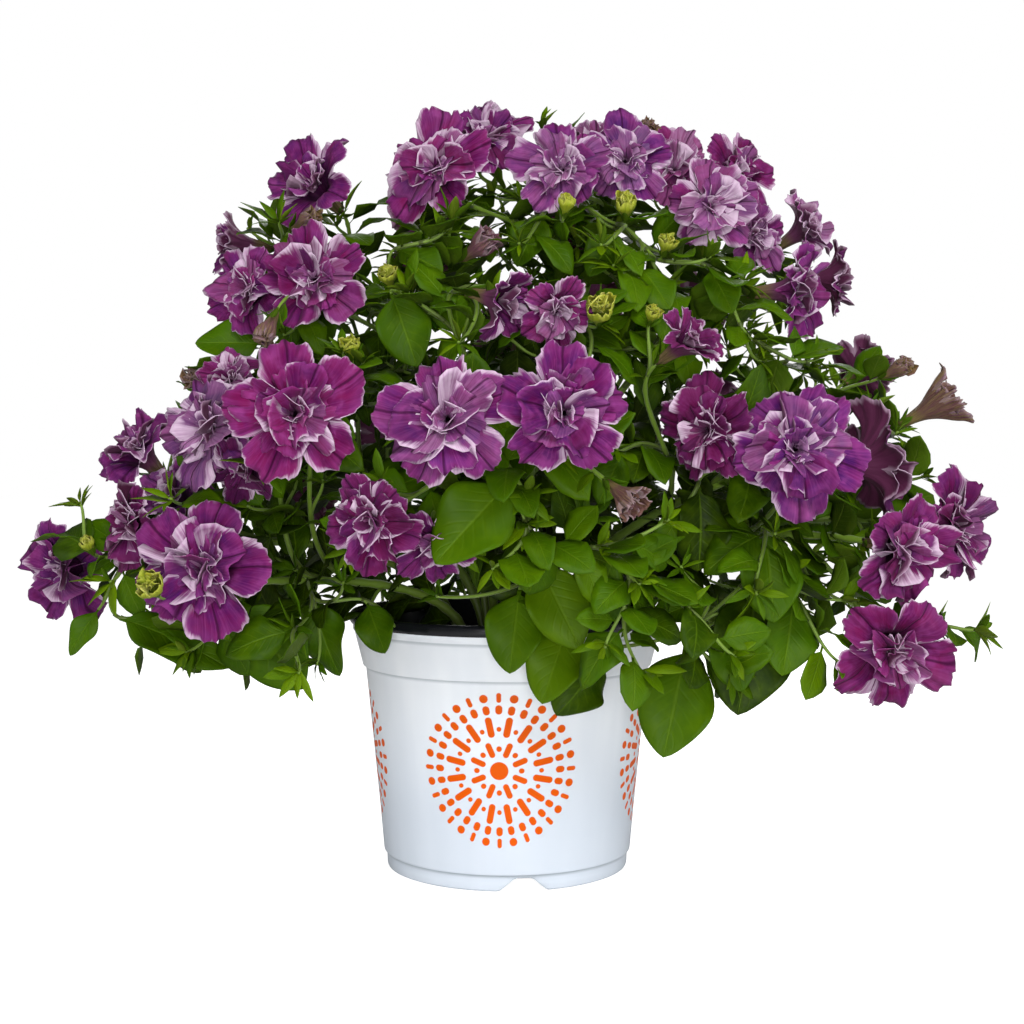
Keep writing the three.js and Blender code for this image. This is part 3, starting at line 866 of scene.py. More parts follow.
class Spread:
    """A geometry node tree in the making, which spreads small pieces over a mesh."""

    def __init__(self, name: str, sizes: Sequence[str]) -> None:
        """Starts a tree whose inputs are the mesh and the named sizes."""
        self.tree = bpy.data.node_groups.new(name, "GeometryNodeTree")
        interface = self.tree.interface
        interface.new_socket("Result", in_out="OUTPUT", socket_type="NodeSocketGeometry")
        interface.new_socket("Mesh", in_out="INPUT", socket_type="NodeSocketGeometry")
        self.sockets: dict[str, str] = {}
        for size in sizes:
            socket = interface.new_socket(size, in_out="INPUT", socket_type="NodeSocketFloat")
            self.sockets[size] = socket.identifier
        self.entry = self.node("NodeGroupInput")

    def node(self, kind: str, values: Values | None = None) -> Any:
        """Adds a node and gives its outputs."""
        return add_node(self.tree, kind, values).outputs

    def named(self, name: str, kind: str = "FLOAT") -> Socket:
        """The values of a named attribute."""
        values = {"data_type": kind, "Name": name}
        return self.node("GeometryNodeInputNamedAttribute", values)[0]

    def product(self, first: Socket, second: Socket) -> Socket:
        """The product of two sockets."""
        return self.node("ShaderNodeMath", {"operation": "MULTIPLY", 0: first, 1: second})[0]

    def scatter(self, mesh: Socket, density: Socket, seed: int) -> Any:
        """Scatters points over a mesh and gives their outputs."""
        values = {"Seed": seed, "Mesh": mesh, "Density": density}
        return self.node("GeometryNodeDistributePointsOnFaces", values)

    def random(self, low: Point, high: Point, seed: int) -> Socket:
        """A random vector for each point, between two limits."""
        values = {"data_type": "FLOAT_VECTOR", 0: low, 1: high, "Seed": seed}
        return self.node("FunctionNodeRandomValue", values)[0]

    def place(
        self, points: Socket, piece: Socket, turn: Socket, size: Socket, more: Values | None = None
    ) -> Socket:
        """Puts a piece on every point, turned and scaled, and makes it real."""
        values = {"Points": points, "Instance": piece, "Rotation": turn, "Scale": size, **(more or {})}
        placed = self.node("GeometryNodeInstanceOnPoints", values)[0]
        return self.node("GeometryNodeRealizeInstances", {"Geometry": placed})[0]

    def dress(self, geometry: Socket, material: Material, **inputs: Socket) -> Socket:
        """Gives a geometry its finish."""
        values = {"Geometry": geometry, "Material": material, **inputs}
        return self.node("GeometryNodeSetMaterial", values)[0]

    def finish(self, *results: Socket) -> None:
        """Ends the tree with the joined results."""
        both = add_node(self.tree, "GeometryNodeJoinGeometry")
        for result in results:
            self.tree.links.new(result, both.inputs[0])
        leave = add_node(self.tree, "NodeGroupOutput")
        self.tree.links.new(both.outputs[0], leave.inputs[0])

    def run(self, piece: Piece, sizes: dict[str, float]) -> Piece:
        """Runs the tree on a piece with the named sizes and makes its result plain mesh."""
        modifier = piece.modifiers.new(self.tree.name, "NODES")
        modifier.node_group = self.tree
        for name, value in sizes.items():
            modifier[self.sockets[name]] = value
        return settle(piece)


def thicken(piece: Piece, thickness: float) -> Piece:
    """Gives a sheet its thickness in mm; its new side has the next material slot."""
    wall = piece.modifiers.new("wall", "SOLIDIFY")
    wall.thickness = thickness * MM
    wall.offset = -1.0
    wall.use_even_offset = False
    wall.material_offset = 1
    return settle(piece)


def bezier(controls: Sequence[Array], t: Array) -> Array:
    """Points of a cubic curve at the parameters t."""
    a, b, c, d = controls
    t = t[:, None]
    return (1 - t) ** 3 * a + 3 * (1 - t) ** 2 * t * b + 3 * (1 - t) * t * t * c + t**3 * d


def unit(vector: Array) -> Array:
    """The vector at length one."""
    return vector / max(float(np.linalg.norm(vector)), 1e-9)


def square_to(axis: Array, turn: float) -> Array:
    """The unit vector that is square to an axis and turned round it by some radians."""
    side = unit(np.cross(axis, UP + 0.01))
    return side * math.cos(turn) + np.cross(axis, side) * math.sin(turn)


def round_angles(count: int) -> Array:
    """Angles in radians, spaced evenly round a circle."""
    return np.arange(count) * 2 * math.pi / count


@dataclass
class Stalk:
    """A stem or stalk: a cubic curve with its radius at either end, in mm."""

    controls: tuple[Array, Array, Array, Array]
    radii: Pair
    swelling: float = 0.28
    swelling_length: float = 0.02
    fork_range: Pair = (0.15, 0.9)
    fork_count: int = 12

    def __post_init__(self) -> None:
        """Samples the places that side branches may leave from."""
        self.forks = np.linspace(*self.fork_range, self.fork_count)
        self.fork_points = bezier(self.controls, self.forks)
        ahead = bezier(self.controls, self.forks + 0.02) - self.fork_points
        self.fork_ways = ahead / np.linalg.norm(ahead, axis=1)[:, None]

    @classmethod
    def between(
        cls, start: Array, leaving: Array, end: Array, arriving: Array, radii: Pair
    ) -> Stalk:
        """The stalk that leaves start along one direction and arrives at end along another.

        Its handles are 0.4 and 0.3 of the way between its ends.
        """
        span = float(np.linalg.norm(end - start))
        controls = (start, start + 0.4 * span * leaving, end - 0.3 * span * arriving, end)
        return cls(controls, radii)

    def at(self, t: float) -> Array:
        """The point at parameter t."""
        return bezier(self.controls, np.array([t]))[0]

    def along(self, t: float) -> Array:
        """The unit direction at parameter t."""
        return unit(self.at(min(t + 0.01, 1.0)) - self.at(max(t - 0.01, 0.0)))

    def radius(self, t: float) -> float:
        """The radius at parameter t."""
        return self.radii[0] + (self.radii[1] - self.radii[0]) * t

    def sweep(self, draft: MeshDraft, steps: int, sides: int, nodes: Sequence[float]) -> None:
        """Adds the stalk's skin to a draft, swollen a little where leaves leave it."""
        t = np.linspace(0, 1, steps)
        line = bezier(self.controls, t)
        tangents = np.gradient(line, axis=0)
        tangents /= np.linalg.norm(tangents, axis=1)[:, None]
        side = unit(np.cross(tangents[0], [0.3, 0.9, 0.2]))
        turn = round_angles(sides)[:, None]
        rings = []
        for point, tangent, share in zip(line, tangents, t):
            side = unit(side - tangent * float(side @ tangent))
            other = np.cross(tangent, side)
            swell = sum(math.exp(-(((share - n) / self.swelling_length) ** 2)) for n in nodes)
            radius = self.radius(share) * (1 + self.swelling * swell)
            rings.append(point + radius * (np.cos(turn) * side + np.sin(turn) * other))
        first = np.repeat(line[:1], sides, axis=0)
        last = np.repeat(line[-1:], sides, axis=0)
        grid = np.stack([first, *rings, last])
        share = np.concatenate([[0], t, [1]])[:, None]
        draft.add_grid(grid, {"along": share}, wrap=True)


# Flowers -------------------------------------------------------------------


@dataclass(frozen=True)
class Whorl:
    """One ring of inner petals. Lengths are shares of the flower's radius, angles degrees.

    A petal leaves the throat at its start angle and turns to its finish angle within the
    share turn of its length; tip bends its end further, cup raises its edges, ruffle and
    waves are the depth and number of its folds, twist turns it about its midvein and
    scatter shifts it round the ring.
    """

    petals: int
    length: float
    half_angle: float
    start: float
    finish: float
    turn: float
    tip: Pair
    cup: Pair
    ruffle: float
    waves: float
    twist: float = 0.35
    scatter: float = 0.25
    pale: float = 0.0


@dataclass(frozen=True)
class FlowerShape:
    """The outer funnel as (radius, height) shares of the radius, and the inner rings."""

    outline: tuple[Pair, ...]
    ruffle: float
    rings: tuple[Whorl, ...]
    notch: float = 0.28


def flower_shapes() -> dict[Form, FlowerShape]:
    """The shape of each form of flower."""
    tube = ((0.09, -1.2), (0.115, -0.95), (0.16, -0.66), (0.25, -0.4))
    full = (
        Whorl(6, 0.86, 46, 62, 12, 0.3, (-45, 30), (-0.05, 0.3), 0.16, 1.5, 0.4, 0.25),
        Whorl(5, 0.66, 52, 74, 36, 0.34, (-70, 10), (0.05, 0.5), 0.18, 1.5, 0.5, 0.35),
        Whorl(4, 0.46, 62, 82, 56, 0.4, (-90, -10), (0.2, 0.7), 0.16, 1.3, 0.5, 0.4, 0.1),
        Whorl(2, 0.32, 70, 84, 66, 0.45, (-100, -30), (0.3, 0.8), 0.14, 1.2, 0.4, 0.5, 0.3),
    )
    loose = (
        Whorl(5, 0.76, 46, 70, 34, 0.35, (-50, 30), (-0.1, 0.3), 0.18, 1.3, 0.5, 0.35),
        Whorl(4, 0.56, 44, 78, 56, 0.4, (-60, 30), (0.1, 0.5), 0.2, 1.3, 0.7, 0.5, 0.05),
        Whorl(2, 0.36, 48, 84, 80, 0.4, (-60, 50), (0.3, 0.8), 0.25, 1.6, 0.8, 0.5, 0.4),
    )
    few = (
        Whorl(4, 0.8, 36, 84, 58, 0.5, (-50, 10), (0.05, 0.3), 0.13, 1.2, pale=0.1),
        Whorl(3, 0.55, 38, 86, 78, 0.5, (-50, 40), (0.1, 0.4), 0.18, 1.6, pale=0.3),
    )
    shut = (
        Whorl(4, 1.2, 30, 88, 84, 0.6, (-20, 50), (0.2, 0.7), 0.2, 1.6, pale=0.1),
        Whorl(3, 1.0, 30, 88, 88, 0.6, (-20, 60), (0.2, 0.7), 0.25, 1.8, pale=0.2),
    )
    return {
        Form.OPEN: FlowerShape((*tube, (0.45, -0.17), (0.76, -0.06), (1.06, -0.1)), 0.11, full),
        Form.LOOSE: FlowerShape((*tube, (0.42, -0.17), (0.72, -0.02), (1.05, 0.0)), 0.11, loose),
        Form.FUNNEL: FlowerShape((*tube, (0.42, -0.12), (0.66, 0.12), (0.98, 0.26)), 0.08, few, 0.3),
        Form.CLOSING: FlowerShape((*tube, (0.36, -0.1), (0.45, 0.2), (0.5, 0.55)), 0.12, few, 0.25),
        Form.BUD: FlowerShape(
            ((0.16, -1.2), (0.3, -0.8), (0.55, -0.4), (0.8, 0.1), (0.7, 0.6)), 0.1, shut, 0.25
        ),
        Form.SPENT: FlowerShape(
            ((0.14, -1.2), (0.2, -0.8), (0.32, -0.4), (0.5, 0.1), (0.42, 0.7)), 0.2, shut, 0.35
        ),
    }


# Sine waves over a free petal, as frequency and depth: its toothed edge, its folds and
# the ripples of its outer part.
TEETH: tuple[Pair, ...] = ((2.5, 0.06), (5, 0.035), (13, 0.02), (23, 0.018), (29, 0.018))
FOLDS: tuple[Pair, ...] = ((1.0, 1.0), (1.9, 0.5), (3.0, 0.25))
RIPPLES: tuple[Pair, ...] = ((5.0, 0.06), (8.0, 0.05), (13.0, 0.02))


@dataclass
class Flower:
    """One double flower: a fused funnel of five lobes round rings of ruffled petals.

    thickness and rim_loss, how much of its white edge a petal may have lost, are in mm;
    throat is the funnel's share below its lobes, foot where the inner petals stand and
    crumple how deep they are crumpled, as shares of the radius.
    """

    name: str
    place: FlowerPlace
    shape: FlowerShape
    seed: int
    lobes: int = 5
    columns: int = 140
    tube_rows: int = 5
    limb_rows: int = 10
    petal_rows: int = 9
    petal_columns: int = 19
    thickness: float = 0.3
    rim_loss: float = 1.3
    throat: float = 0.4
    foot: Pair = (0.05, -0.26)
    section_steps: int = 240
    bend_steps: int = 60
    crumple: float = 0.055
    crumple_sizes: tuple[float, ...] = (1.3, 2.4, 4.5, 9.0)
    crumple_shares: tuple[float, ...] = (0.7, 0.7, 1.4)

    def __post_init__(self) -> None:
        """Seeds this flower's own random numbers."""
        self.rng = np.random.default_rng(self.seed)
        self.radius = self.place.across / 2
        self.warm = self.rng.uniform(0.15, 0.95)
        self.crumples = [
            (size, self.rng.normal(0, 1, (3, 3)), self.rng.uniform(0, 6.3, 3))
            for size in self.crumple_sizes
        ]
        if self.place.form in (Form.BUD, Form.SPENT):
            self.columns, self.limb_rows, self.petal_rows, self.petal_columns = 60, 7, 7, 9

    def build(self, materials: Sequence[Material]) -> Piece:
        """Makes the flower's mesh, with its petals' thickness."""
        draft = MeshDraft()
        self._funnel(draft)
        for ring in self.shape.rings:
            self._ring(draft, ring)
        turned = self._turn()
        draft.points = [self._crumple(p) @ turned.T + self.place.centre for p in draft.points]
        return thicken(draft.build(self.name, materials), self.thickness)

    def _turn(self) -> Array:
        """The rotation from the flower's own axes, which face +Z, to its place."""
        z = self.place.facing
        right = unit(np.cross(UP + 0.001, z))
        up = np.cross(z, right)
        roll = self.rng.uniform(0, 360) if self.place.roll is None else self.place.roll
        turn = math.radians(roll - 180 / self.lobes)
        x = right * math.cos(turn) + up * math.sin(turn)
        return np.stack([x, np.cross(z, x), z], axis=1)

    def _crumple(self, points: Array) -> Array:
        """Pushes the petals about by a smooth noise, more so the further out they are."""
        radius = self.radius
        away = np.clip(np.hypot(points[:, 0], points[:, 1]) / radius, 0, 1)[:, None]
        moved = points.copy()
        for size, ways, phases in self.crumples:
            wave = np.sin(points @ ways.T * (size / radius) + phases)
            moved += self.crumple * radius / math.sqrt(size) * away * wave * self.crumple_shares
        return moved

    def _outline(self) -> tuple[Array, Array, Array]:
        """The funnel's section as arc length, points and unit tangents."""
        knots = np.array(self.shape.outline) * self.radius
        steps = np.concatenate([[0], np.cumsum(np.linalg.norm(np.diff(knots, axis=0), axis=1))])
        fine = np.linspace(0, steps[-1], self.section_steps)
        slopes = np.gradient(knots, steps, axis=0)
        i = np.clip(np.searchsorted(steps, fine, side="right") - 1, 0, len(steps) - 2)
        span = (steps[i + 1] - steps[i])[:, None]
        t = ((fine - steps[i]) / span[:, 0])[:, None]
        points = (
            (2 * t**3 - 3 * t**2 + 1) * knots[i]
            + (t**3 - 2 * t**2 + t) * span * slopes[i]
            + (-2 * t**3 + 3 * t**2) * knots[i + 1]
            + (t**3 - t**2) * span * slopes[i + 1]
        )
        tangents = np.gradient(points, axis=0)
        tangents /= np.linalg.norm(tangents, axis=1)[:, None]
        return fine, points, tangents

    def _waves(self, angle: Array, low: int, high: int, count: int) -> Array:
        """A sum of a few sine waves round a circle, about -1 to 1."""
        total = np.zeros_like(angle)
        for _ in range(count):
            k = self.rng.integers(low, high)
            total += self.rng.uniform(0.5, 1.0) * np.sin(k * angle + self.rng.uniform(0, 6.3))
        return total / (0.6 * count)

    def _for_lobes(self, low: float, high: float, which: Array) -> Array:
        """A random value for each lobe, given at every column by the lobe it is in."""
        return self.rng.uniform(low, high, self.lobes)[which]

    def _lobe_edge(self, u: Array, angle: Array, which: Array) -> Array:
        """How far each column reaches: round lobes, notched between, pointed and frayed."""
        size = 1 + self._for_lobes(-0.12, 0.08, which) * (1 - u**2)
        edge = 1.02 - 0.1 * u**2 - self.shape.notch * np.abs(u) ** 5
        edge = edge + 0.03 * np.exp(-((u / 0.1) ** 2))
        edge = edge + 0.022 * self._waves(angle, 30, 64, 7) + 0.035 * self._waves(angle, 9, 20, 3)
        return (edge + self.rng.uniform(-0.026, 0.026, self.columns)) * size

    def _lobe_push(self, share: Array, u: Array, angle: Array, which: Array) -> Array:
        """How far the funnel is pushed square to itself, in mm.

        Each lobe tilts and twists its own way. It has large and small ruffles, a furrow
        along its midvein and raised sides, and the tube has a rib for each lobe.
        """
        radius, inside, opened = self.radius, 1 - u**2, np.clip(share, 0, 1)
        tilt = self._for_lobes(-0.3, 0.24, which) * inside
        twist = self._for_lobes(-0.4, 0.4, which) * u * inside
        push = radius * opened**1.7 * (tilt + twist)
        push += self.shape.ruffle * radius * opened**2 * self._waves(angle, 8, 15, 4)
        push += 0.075 * radius * opened**3 * self._waves(angle, 18, 36, 6)
        push -= 0.05 * radius * opened**0.8 * np.exp(-((u / 0.1) ** 2))
        push += 0.05 * radius * opened * np.abs(u) ** 3
        return push + 0.02 * radius * np.where(share < 0, np.cos(self.lobes * angle), 0)

    def _funnel(self, draft: MeshDraft) -> None:
        """Adds the tube and the five outer lobes."""
        arc, points, tangents = self._outline()
        throat = self.throat * arc[-1]
        angle = round_angles(self.columns)
        turn = angle * self.lobes / (2 * math.pi)
        which = turn.astype(int) % self.lobes
        u = np.mod(turn, 1.0) * 2 - 1
        edge = self._lobe_edge(u, angle, which)
        # The section is swept round, as far along itself as each column reaches.
        tube = np.linspace(0, 1, self.tube_rows)[:, None] * throat * np.ones_like(angle)
        q = np.linspace(0, 1, self.limb_rows + 1)[1:, None] ** 0.9
        length = np.vstack([tube, throat + q * (arc[-1] - throat) * edge])
        share = np.vstack([tube / throat - 1, q * np.ones_like(angle)])
        opened = np.clip(share, 0, 1)
        push = self._lobe_push(share, u, angle, which)
        r = np.interp(length, arc, points[:, 0]) + np.maximum(length - arc[-1], 0)
        r = r - np.interp(length, arc, tangents[:, 1]) * push
        z = np.interp(length, arc, points[:, 1])
        z = z + np.interp(length, arc, tangents[:, 0]) * push
        swing = angle + 0.1 * opened**1.5 * self._for_lobes(-1, 1, which) * (1 - u**2)
        # The margin is the way to the outline or, where the lobes part, to the slit.
        side = (1 - np.abs(u)) * math.pi / self.lobes * r
        side = side + 40 * np.clip((0.62 - opened) / 0.2, 0, 1)
        margin = np.minimum((1 - opened) * (arc[-1] - throat), side)
        margin = margin + self._for_lobes(0.0, 0.3 * self.rim_loss, which)
        pale = np.clip(self.place.pale + 0.3 * self._waves(angle, 1, 6, 3), 0, 1) * 0.5
        seed = self.rng.uniform(0, 50) + 1.7 * which
        grid = np.stack([r * np.cos(swing), r * np.sin(swing), z], axis=-1)
        places = {"across": u, "along": share, "margin": margin, "seed": seed}
        tones = {"pale": pale, "deep": self.place.deep, "warm": self.warm, "wilt": self.place.wilt}
        draft.add_grid(grid, {**places, **tones}, wrap=True, flip=True)

    def _ring(self, draft: MeshDraft, ring: Whorl) -> None:
        """Adds one ring of inner petals."""
        offset = self.rng.uniform(0, 2 * math.pi)
        for i in range(ring.petals):
            stray = self.rng.uniform(-ring.scatter, ring.scatter)
            self._petal(draft, ring, offset + 2 * math.pi * (i + stray) / ring.petals)

    def _petal(self, draft: MeshDraft, ring: Whorl, azimuth: float) -> None:
        """Adds one free petal, a spoon that rises from the throat and folds outwards."""
        rng = self.rng
        length = ring.length * self.radius * rng.uniform(0.8, 1.15)
        half = math.radians(ring.half_angle * rng.uniform(0.75, 1.15))
        u = np.linspace(-1, 1, self.petal_columns)[None, :]
        v = np.linspace(0.12, 1, self.petal_rows)[:, None]
        # The outline: rounded, pointed a little, toothed and frayed.
        teeth = sum(size * np.sin(k * u + rng.uniform(0, 6)) for k, size in TEETH)
        edge = 1.0 - 0.06 * np.abs(u) - 0.36 * np.abs(u) ** 3.5 + 0.03 * np.exp(-((u / 0.12) ** 2))
        edge = edge + teeth + rng.uniform(-0.022, 0.022, u.shape)
        reach = v * length * edge
        run, lateral = reach * np.cos(u * half), reach * np.sin(u * half)
        out, rise, lean = self._bend(ring, length, run)
        # It is pushed square to itself: folds, cupped edges, midvein furrow, twist, ripples.
        wave = np.zeros_like(run)
        for k, size in FOLDS:
            phase = rng.uniform(0, 2 * math.pi)
            wave = wave + size * np.sin(ring.waves * k * math.pi * u + phase + 1.2 * k * v)
        push = ring.ruffle * length * v**2 * wave
        push = push + rng.uniform(*ring.cup) * length * v * u**2
        push = push - 0.05 * length * v * np.exp(-((u / 0.14) ** 2))
        push = push + rng.uniform(-ring.twist, ring.twist) * lateral * v
        for k, size in RIPPLES:
            push = push + size * length * v**2.5 * np.sin(k * u + rng.uniform(0, 6.3))
        r = out - np.sin(lean) * push
        z = rise + np.cos(lean) * push
        lateral = lateral + rng.uniform(-0.25, 0.25) * length * v**2
        x = r * math.cos(azimuth) - lateral * math.sin(azimuth)
        y = r * math.sin(azimuth) + lateral * math.cos(azimuth)
        margin = np.minimum((1 - v) * length * edge, (1 - np.abs(u)) * half * reach * 1.3)
        margin = margin + rng.uniform(0.0, self.rim_loss)
        pale = min(1.0, 0.6 * self.place.pale + ring.pale + rng.uniform(-0.1, 0.3))
        # Each petal is darker or lighter at random: partly its own tone, partly painted shade that sets
        # lit petals apart from shaded ones.
        deep = min(1.0, max(0.0, self.place.deep + rng.uniform(-0.3, 0.4)))
        warm = min(1.0, max(0.0, self.warm + rng.uniform(-0.3, 0.3)))
        grid = np.stack([x, y, z], axis=-1)
        places = {"across": u, "along": v, "margin": margin, "seed": rng.uniform(0, 50)}
        tones = {"pale": pale, "deep": deep, "warm": warm, "wilt": self.place.wilt}
        draft.add_grid(grid, {**places, **tones}, flip=True)

    def _bend(self, ring: Whorl, length: float, run: Array) -> tuple[Array, Array, Array]:
        """Bends a flat petal out of the throat.

        Args:
            ring: The ring that the petal belongs to.
            length: The petal's length in mm.
            run: How far along its middle line each point is, in mm.

        Returns:
            How far out, how high and how steep the petal is at each point.
        """
        rng = self.rng
        s = np.linspace(0, length * 1.1, self.bend_steps)
        start = math.radians(ring.start)
        finish = math.radians(ring.finish + rng.uniform(-20, 18))
        tip = math.radians(rng.uniform(*ring.tip))
        lean = finish + (start - finish) * np.exp(-((s / (ring.turn * length)) ** 2))
        lean = lean + tip * (s / length) ** 3
        out = np.cumsum(np.cos(lean)) * s[1] + self.foot[0] * self.radius
        rise = np.cumsum(np.sin(lean)) * s[1] + self.foot[1] * self.radius
        return np.interp(run, s, out), np.interp(run, s, rise), np.interp(run, s, lean)


# Leaves --------------------------------------------------------------------


class LeafKind(Enum):
    """Broad leaves on stems, narrow ones at shoot tips and a few large ones below."""

    BROAD = "broad"
    NARROW = "narrow"
    LARGE = "large"


@dataclass(frozen=True)
class LeafShape:
    """A leaf of length one along +X, its upper face to +Z.

    half_width is its widest half, petiole the share that is stalk, droop how far its
    tip hangs, fold how far its halves rise from the midrib, wave how far its edge
    ripples, twist how far its tip turns, point how near its foot it is widest and
    fullness how fast it narrows, less for a rounder outline. Its thickness is a share of
    its length.
    """

    half_width: float
    petiole: float
    droop: float
    fold: float
    wave: float
    twist: float
    point: float = 0.78
    fullness: float = 0.66
    rows: int = 8
    columns: int = 5
    thickness: float = 0.01

    def build(self, name: str, materials: Sequence[Material]) -> Piece:
        """Makes the leaf as a thin closed mesh."""
        # Rows lie closer together towards the foot and the tip.
        even = np.linspace(0, 1, self.rows)[:, None]
        v = 0.6 * even + 0.2 * (1 - np.cos(math.pi * even))
        u = np.linspace(-1, 1, self.columns)[None, :]
        blade = np.clip((v - self.petiole) / (1 - self.petiole), 0, 1)
        outline = self.half_width * np.sin(math.pi * blade**self.point) ** self.fullness
        half = np.maximum(outline, 0.02 * (1 - v) + 0.002)
        y = u * half
        z = -self.droop * v**2 + self.fold * half * (np.abs(u) - 0.5 * u**2)
        z = z + self.wave * half * np.sin(8 * v + 2.0 * np.sign(u)) * u**2
        z = z + self.twist * v * y
        x = v * (1 - 0.25 * self.droop) * np.ones_like(u)
        draft = MeshDraft()
        grid = np.stack([x, y, z], axis=-1) / MM
        draft.add_grid(grid, {"across": u, "along": v}, flip=True)
        return thicken(draft.build(name, materials), self.thickness / MM)


LEAF_SHAPES: dict[LeafKind, tuple[LeafShape, ...]] = {
    LeafKind.BROAD: (
        LeafShape(0.29, 0.16, 0.16, 0.25, 0.15, 0.1),
        LeafShape(0.33, 0.14, 0.30, 0.15, 0.25, -0.2),
        LeafShape(0.27, 0.18, 0.42, 0.4, 0.3, 0.3),
        LeafShape(0.34, 0.14, 0.08, 0.1, 0.2, -0.1),
        LeafShape(0.30, 0.16, 0.50, 0.2, 0.3, 0.2, 0.7),
    ),
    LeafKind.NARROW: (
        LeafShape(0.13, 0.06, 0.12, 0.5, 0.1, 0.2, 0.85, 0.8, 7, 3),
        LeafShape(0.11, 0.05, 0.25, 0.4, 0.1, -0.2, 0.85, 0.8, 7, 3),
        LeafShape(0.17, 0.07, 0.04, 0.5, 0.15, 0.1, 0.8, 0.8, 7, 3),
    ),
    LeafKind.LARGE: (
        LeafShape(0.34, 0.08, 0.14, 0.25, 0.3, 0.15, 0.8, 0.7, 22, 13),
        LeafShape(0.31, 0.10, 0.30, 0.45, 0.5, 0.6, 0.76, 0.68, 22, 13),
        LeafShape(0.23, 0.08, 0.22, 0.3, 0.35, -0.3, 0.8, 0.7, 22, 13),
    ),
}


def shape_numbers(kind: LeafKind) -> range:
    """The numbers that the shapes of a kind have among all the leaf shapes."""
    kinds = list(LEAF_SHAPES)
    first = sum(len(LEAF_SHAPES[other]) for other in kinds[: kinds.index(kind)])
    return range(first, first + len(LEAF_SHAPES[kind]))


@dataclass
class LeafSet:
    """The leaves of one shoot: where each leaves its stem, how it lies, its size and so on."""

    places: list[Matrix] = field(default_factory=list)
    sizes: list[float] = field(default_factory=list)
    shapes: list[int] = field(default_factory=list)
    tints: list[float] = field(default_factory=list)

    def add(self, at: Array, out: Array, face: Array, size: float, shape: int, tint: float) -> None:
        """Adds a leaf.

        Args:
            at: The leaf's foot, in mm.
            out: The way the leaf runs.
            face: Roughly the way its upper face looks.
            size: Its length in mm.
            shape: The number of its shape.
            tint: From 0, old and shaded, to 1, young.
        """
        x = unit(out)
        y = unit(np.cross(face, x))
        z = np.cross(x, y)
        self.places.append(Matrix((x, y, z)).transposed().to_4x4())
        self.places[-1].translation = Vector(at)
        self.sizes.append(size)
        self.shapes.append(shape)
        self.tints.append(tint)


class LeafSpray:
    """The leaf shapes, and the node tree that puts one on every point of a set."""

    def __init__(self, upper: Material, under: Material) -> None:
        """Makes the shapes and the tree, with the finishes of the leaves' two sides."""
        self.shapes = bpy.data.collections.new("leaf_shapes")
        for kind, shapes in LEAF_SHAPES.items():
            for number, shape in zip(shape_numbers(kind), shapes):
                self._keep(shape.build(f"shape_{number:02d}_{kind.value}", [upper, under]))
        spread = Spread("leaf_spray", ["Scale"])
        values = {"Collection": self.shapes, "Separate Children": True, "Reset Children": True}
        leaves = spread.node("GeometryNodeCollectionInfo", values)
        turn = spread.named("turn", "FLOAT_VECTOR")
        size = spread.product(spread.named("size"), spread.entry["Scale"])
        pick = {"Pick Instance": True, "Instance Index": spread.named("shape", "INT")}
        real = spread.place(spread.entry["Mesh"], leaves[0], turn, size, pick)
        underside = spread.named("underside", "BOOLEAN")
        spread.finish(spread.dress(spread.dress(real, upper), under, Selection=underside))
        self.spread = spread

    def _keep(self, leaf: Piece) -> None:
        """Keeps a shape for the tree, with its under side marked."""
        bpy.context.scene.collection.objects.unlink(leaf)
        self.shapes.objects.link(leaf)
        under = leaf.data.attributes.new("underside", "BOOLEAN", "FACE")
        under.data.foreach_set("value", [p.material_index == 1 for p in leaf.data.polygons])

    def grow(self, name: str, leaves: LeafSet) -> Piece:
        """Makes the leaves of one shoot as a plain mesh."""
        mesh = bpy.data.meshes.new(name)
        mesh.from_pydata([m.translation * MM for m in leaves.places], [], [])
        turn = mesh.attributes.new("turn", "FLOAT_VECTOR", "POINT")
        turn.data.foreach_set("vector", np.array([m.to_euler() for m in leaves.places]).ravel())
        mesh.attributes.new("size", "FLOAT", "POINT").data.foreach_set("value", leaves.sizes)
        mesh.attributes.new("shape", "INT", "POINT").data.foreach_set("value", leaves.shapes)
        mesh.attributes.new("tint", "FLOAT", "POINT").data.foreach_set("value", leaves.tints)
        piece = self.spread.run(put(name, mesh), {"Scale": MM})
        piece.data.polygons.foreach_set("use_smooth", np.ones(len(piece.data.polygons), dtype=bool))
        return piece

    def clear(self) -> None:
        """Removes the shapes, which are no longer needed when every shoot has its leaves."""
        for leaf in list(self.shapes.objects):
            bpy.data.objects.remove(leaf)


# Shoots --------------------------------------------------------------------


# The crown is an ellipsoid, in mm.
CROWN_CENTRE = np.array([6.0, 2.0, 158.0])
CROWN_RADII = np.array([240.0, 196.0, 262.0])

# No leaf tip comes into this gap in front of the pot's rim: limits of x, y and z in mm.
CLEARING = ((-100.0, 8.0), (-math.inf, -40.0), (-math.inf, 172.0))

# Nor in front of a flower: this far in mm, and from behind its middle and within a
# radius that are shares of its width.
FLOWER_VIEW = 70.0
FLOWER_DEPTH = 0.12
FLOWER_FACE = 0.44


def hides_flower(point: Array) -> bool:
    """Whether a point, in mm, is just in front of a flower's face."""
    for flower in (*FLOWERS.values(), *SMALL_FLOWERS.values()):
        gap = point - flower.centre
        ahead = float(gap @ flower.facing)
        if -FLOWER_DEPTH * flower.across < ahead < FLOWER_VIEW:
            aside = float(np.linalg.norm(gap - ahead * flower.facing))
            if aside < FLOWER_FACE * flower.across:
                return True
    return False


def in_clearing(point: Array) -> bool:
    """Whether a point, in mm, is in the clearing."""
    return all(low < value < high for value, (low, high) in zip(point, CLEARING))


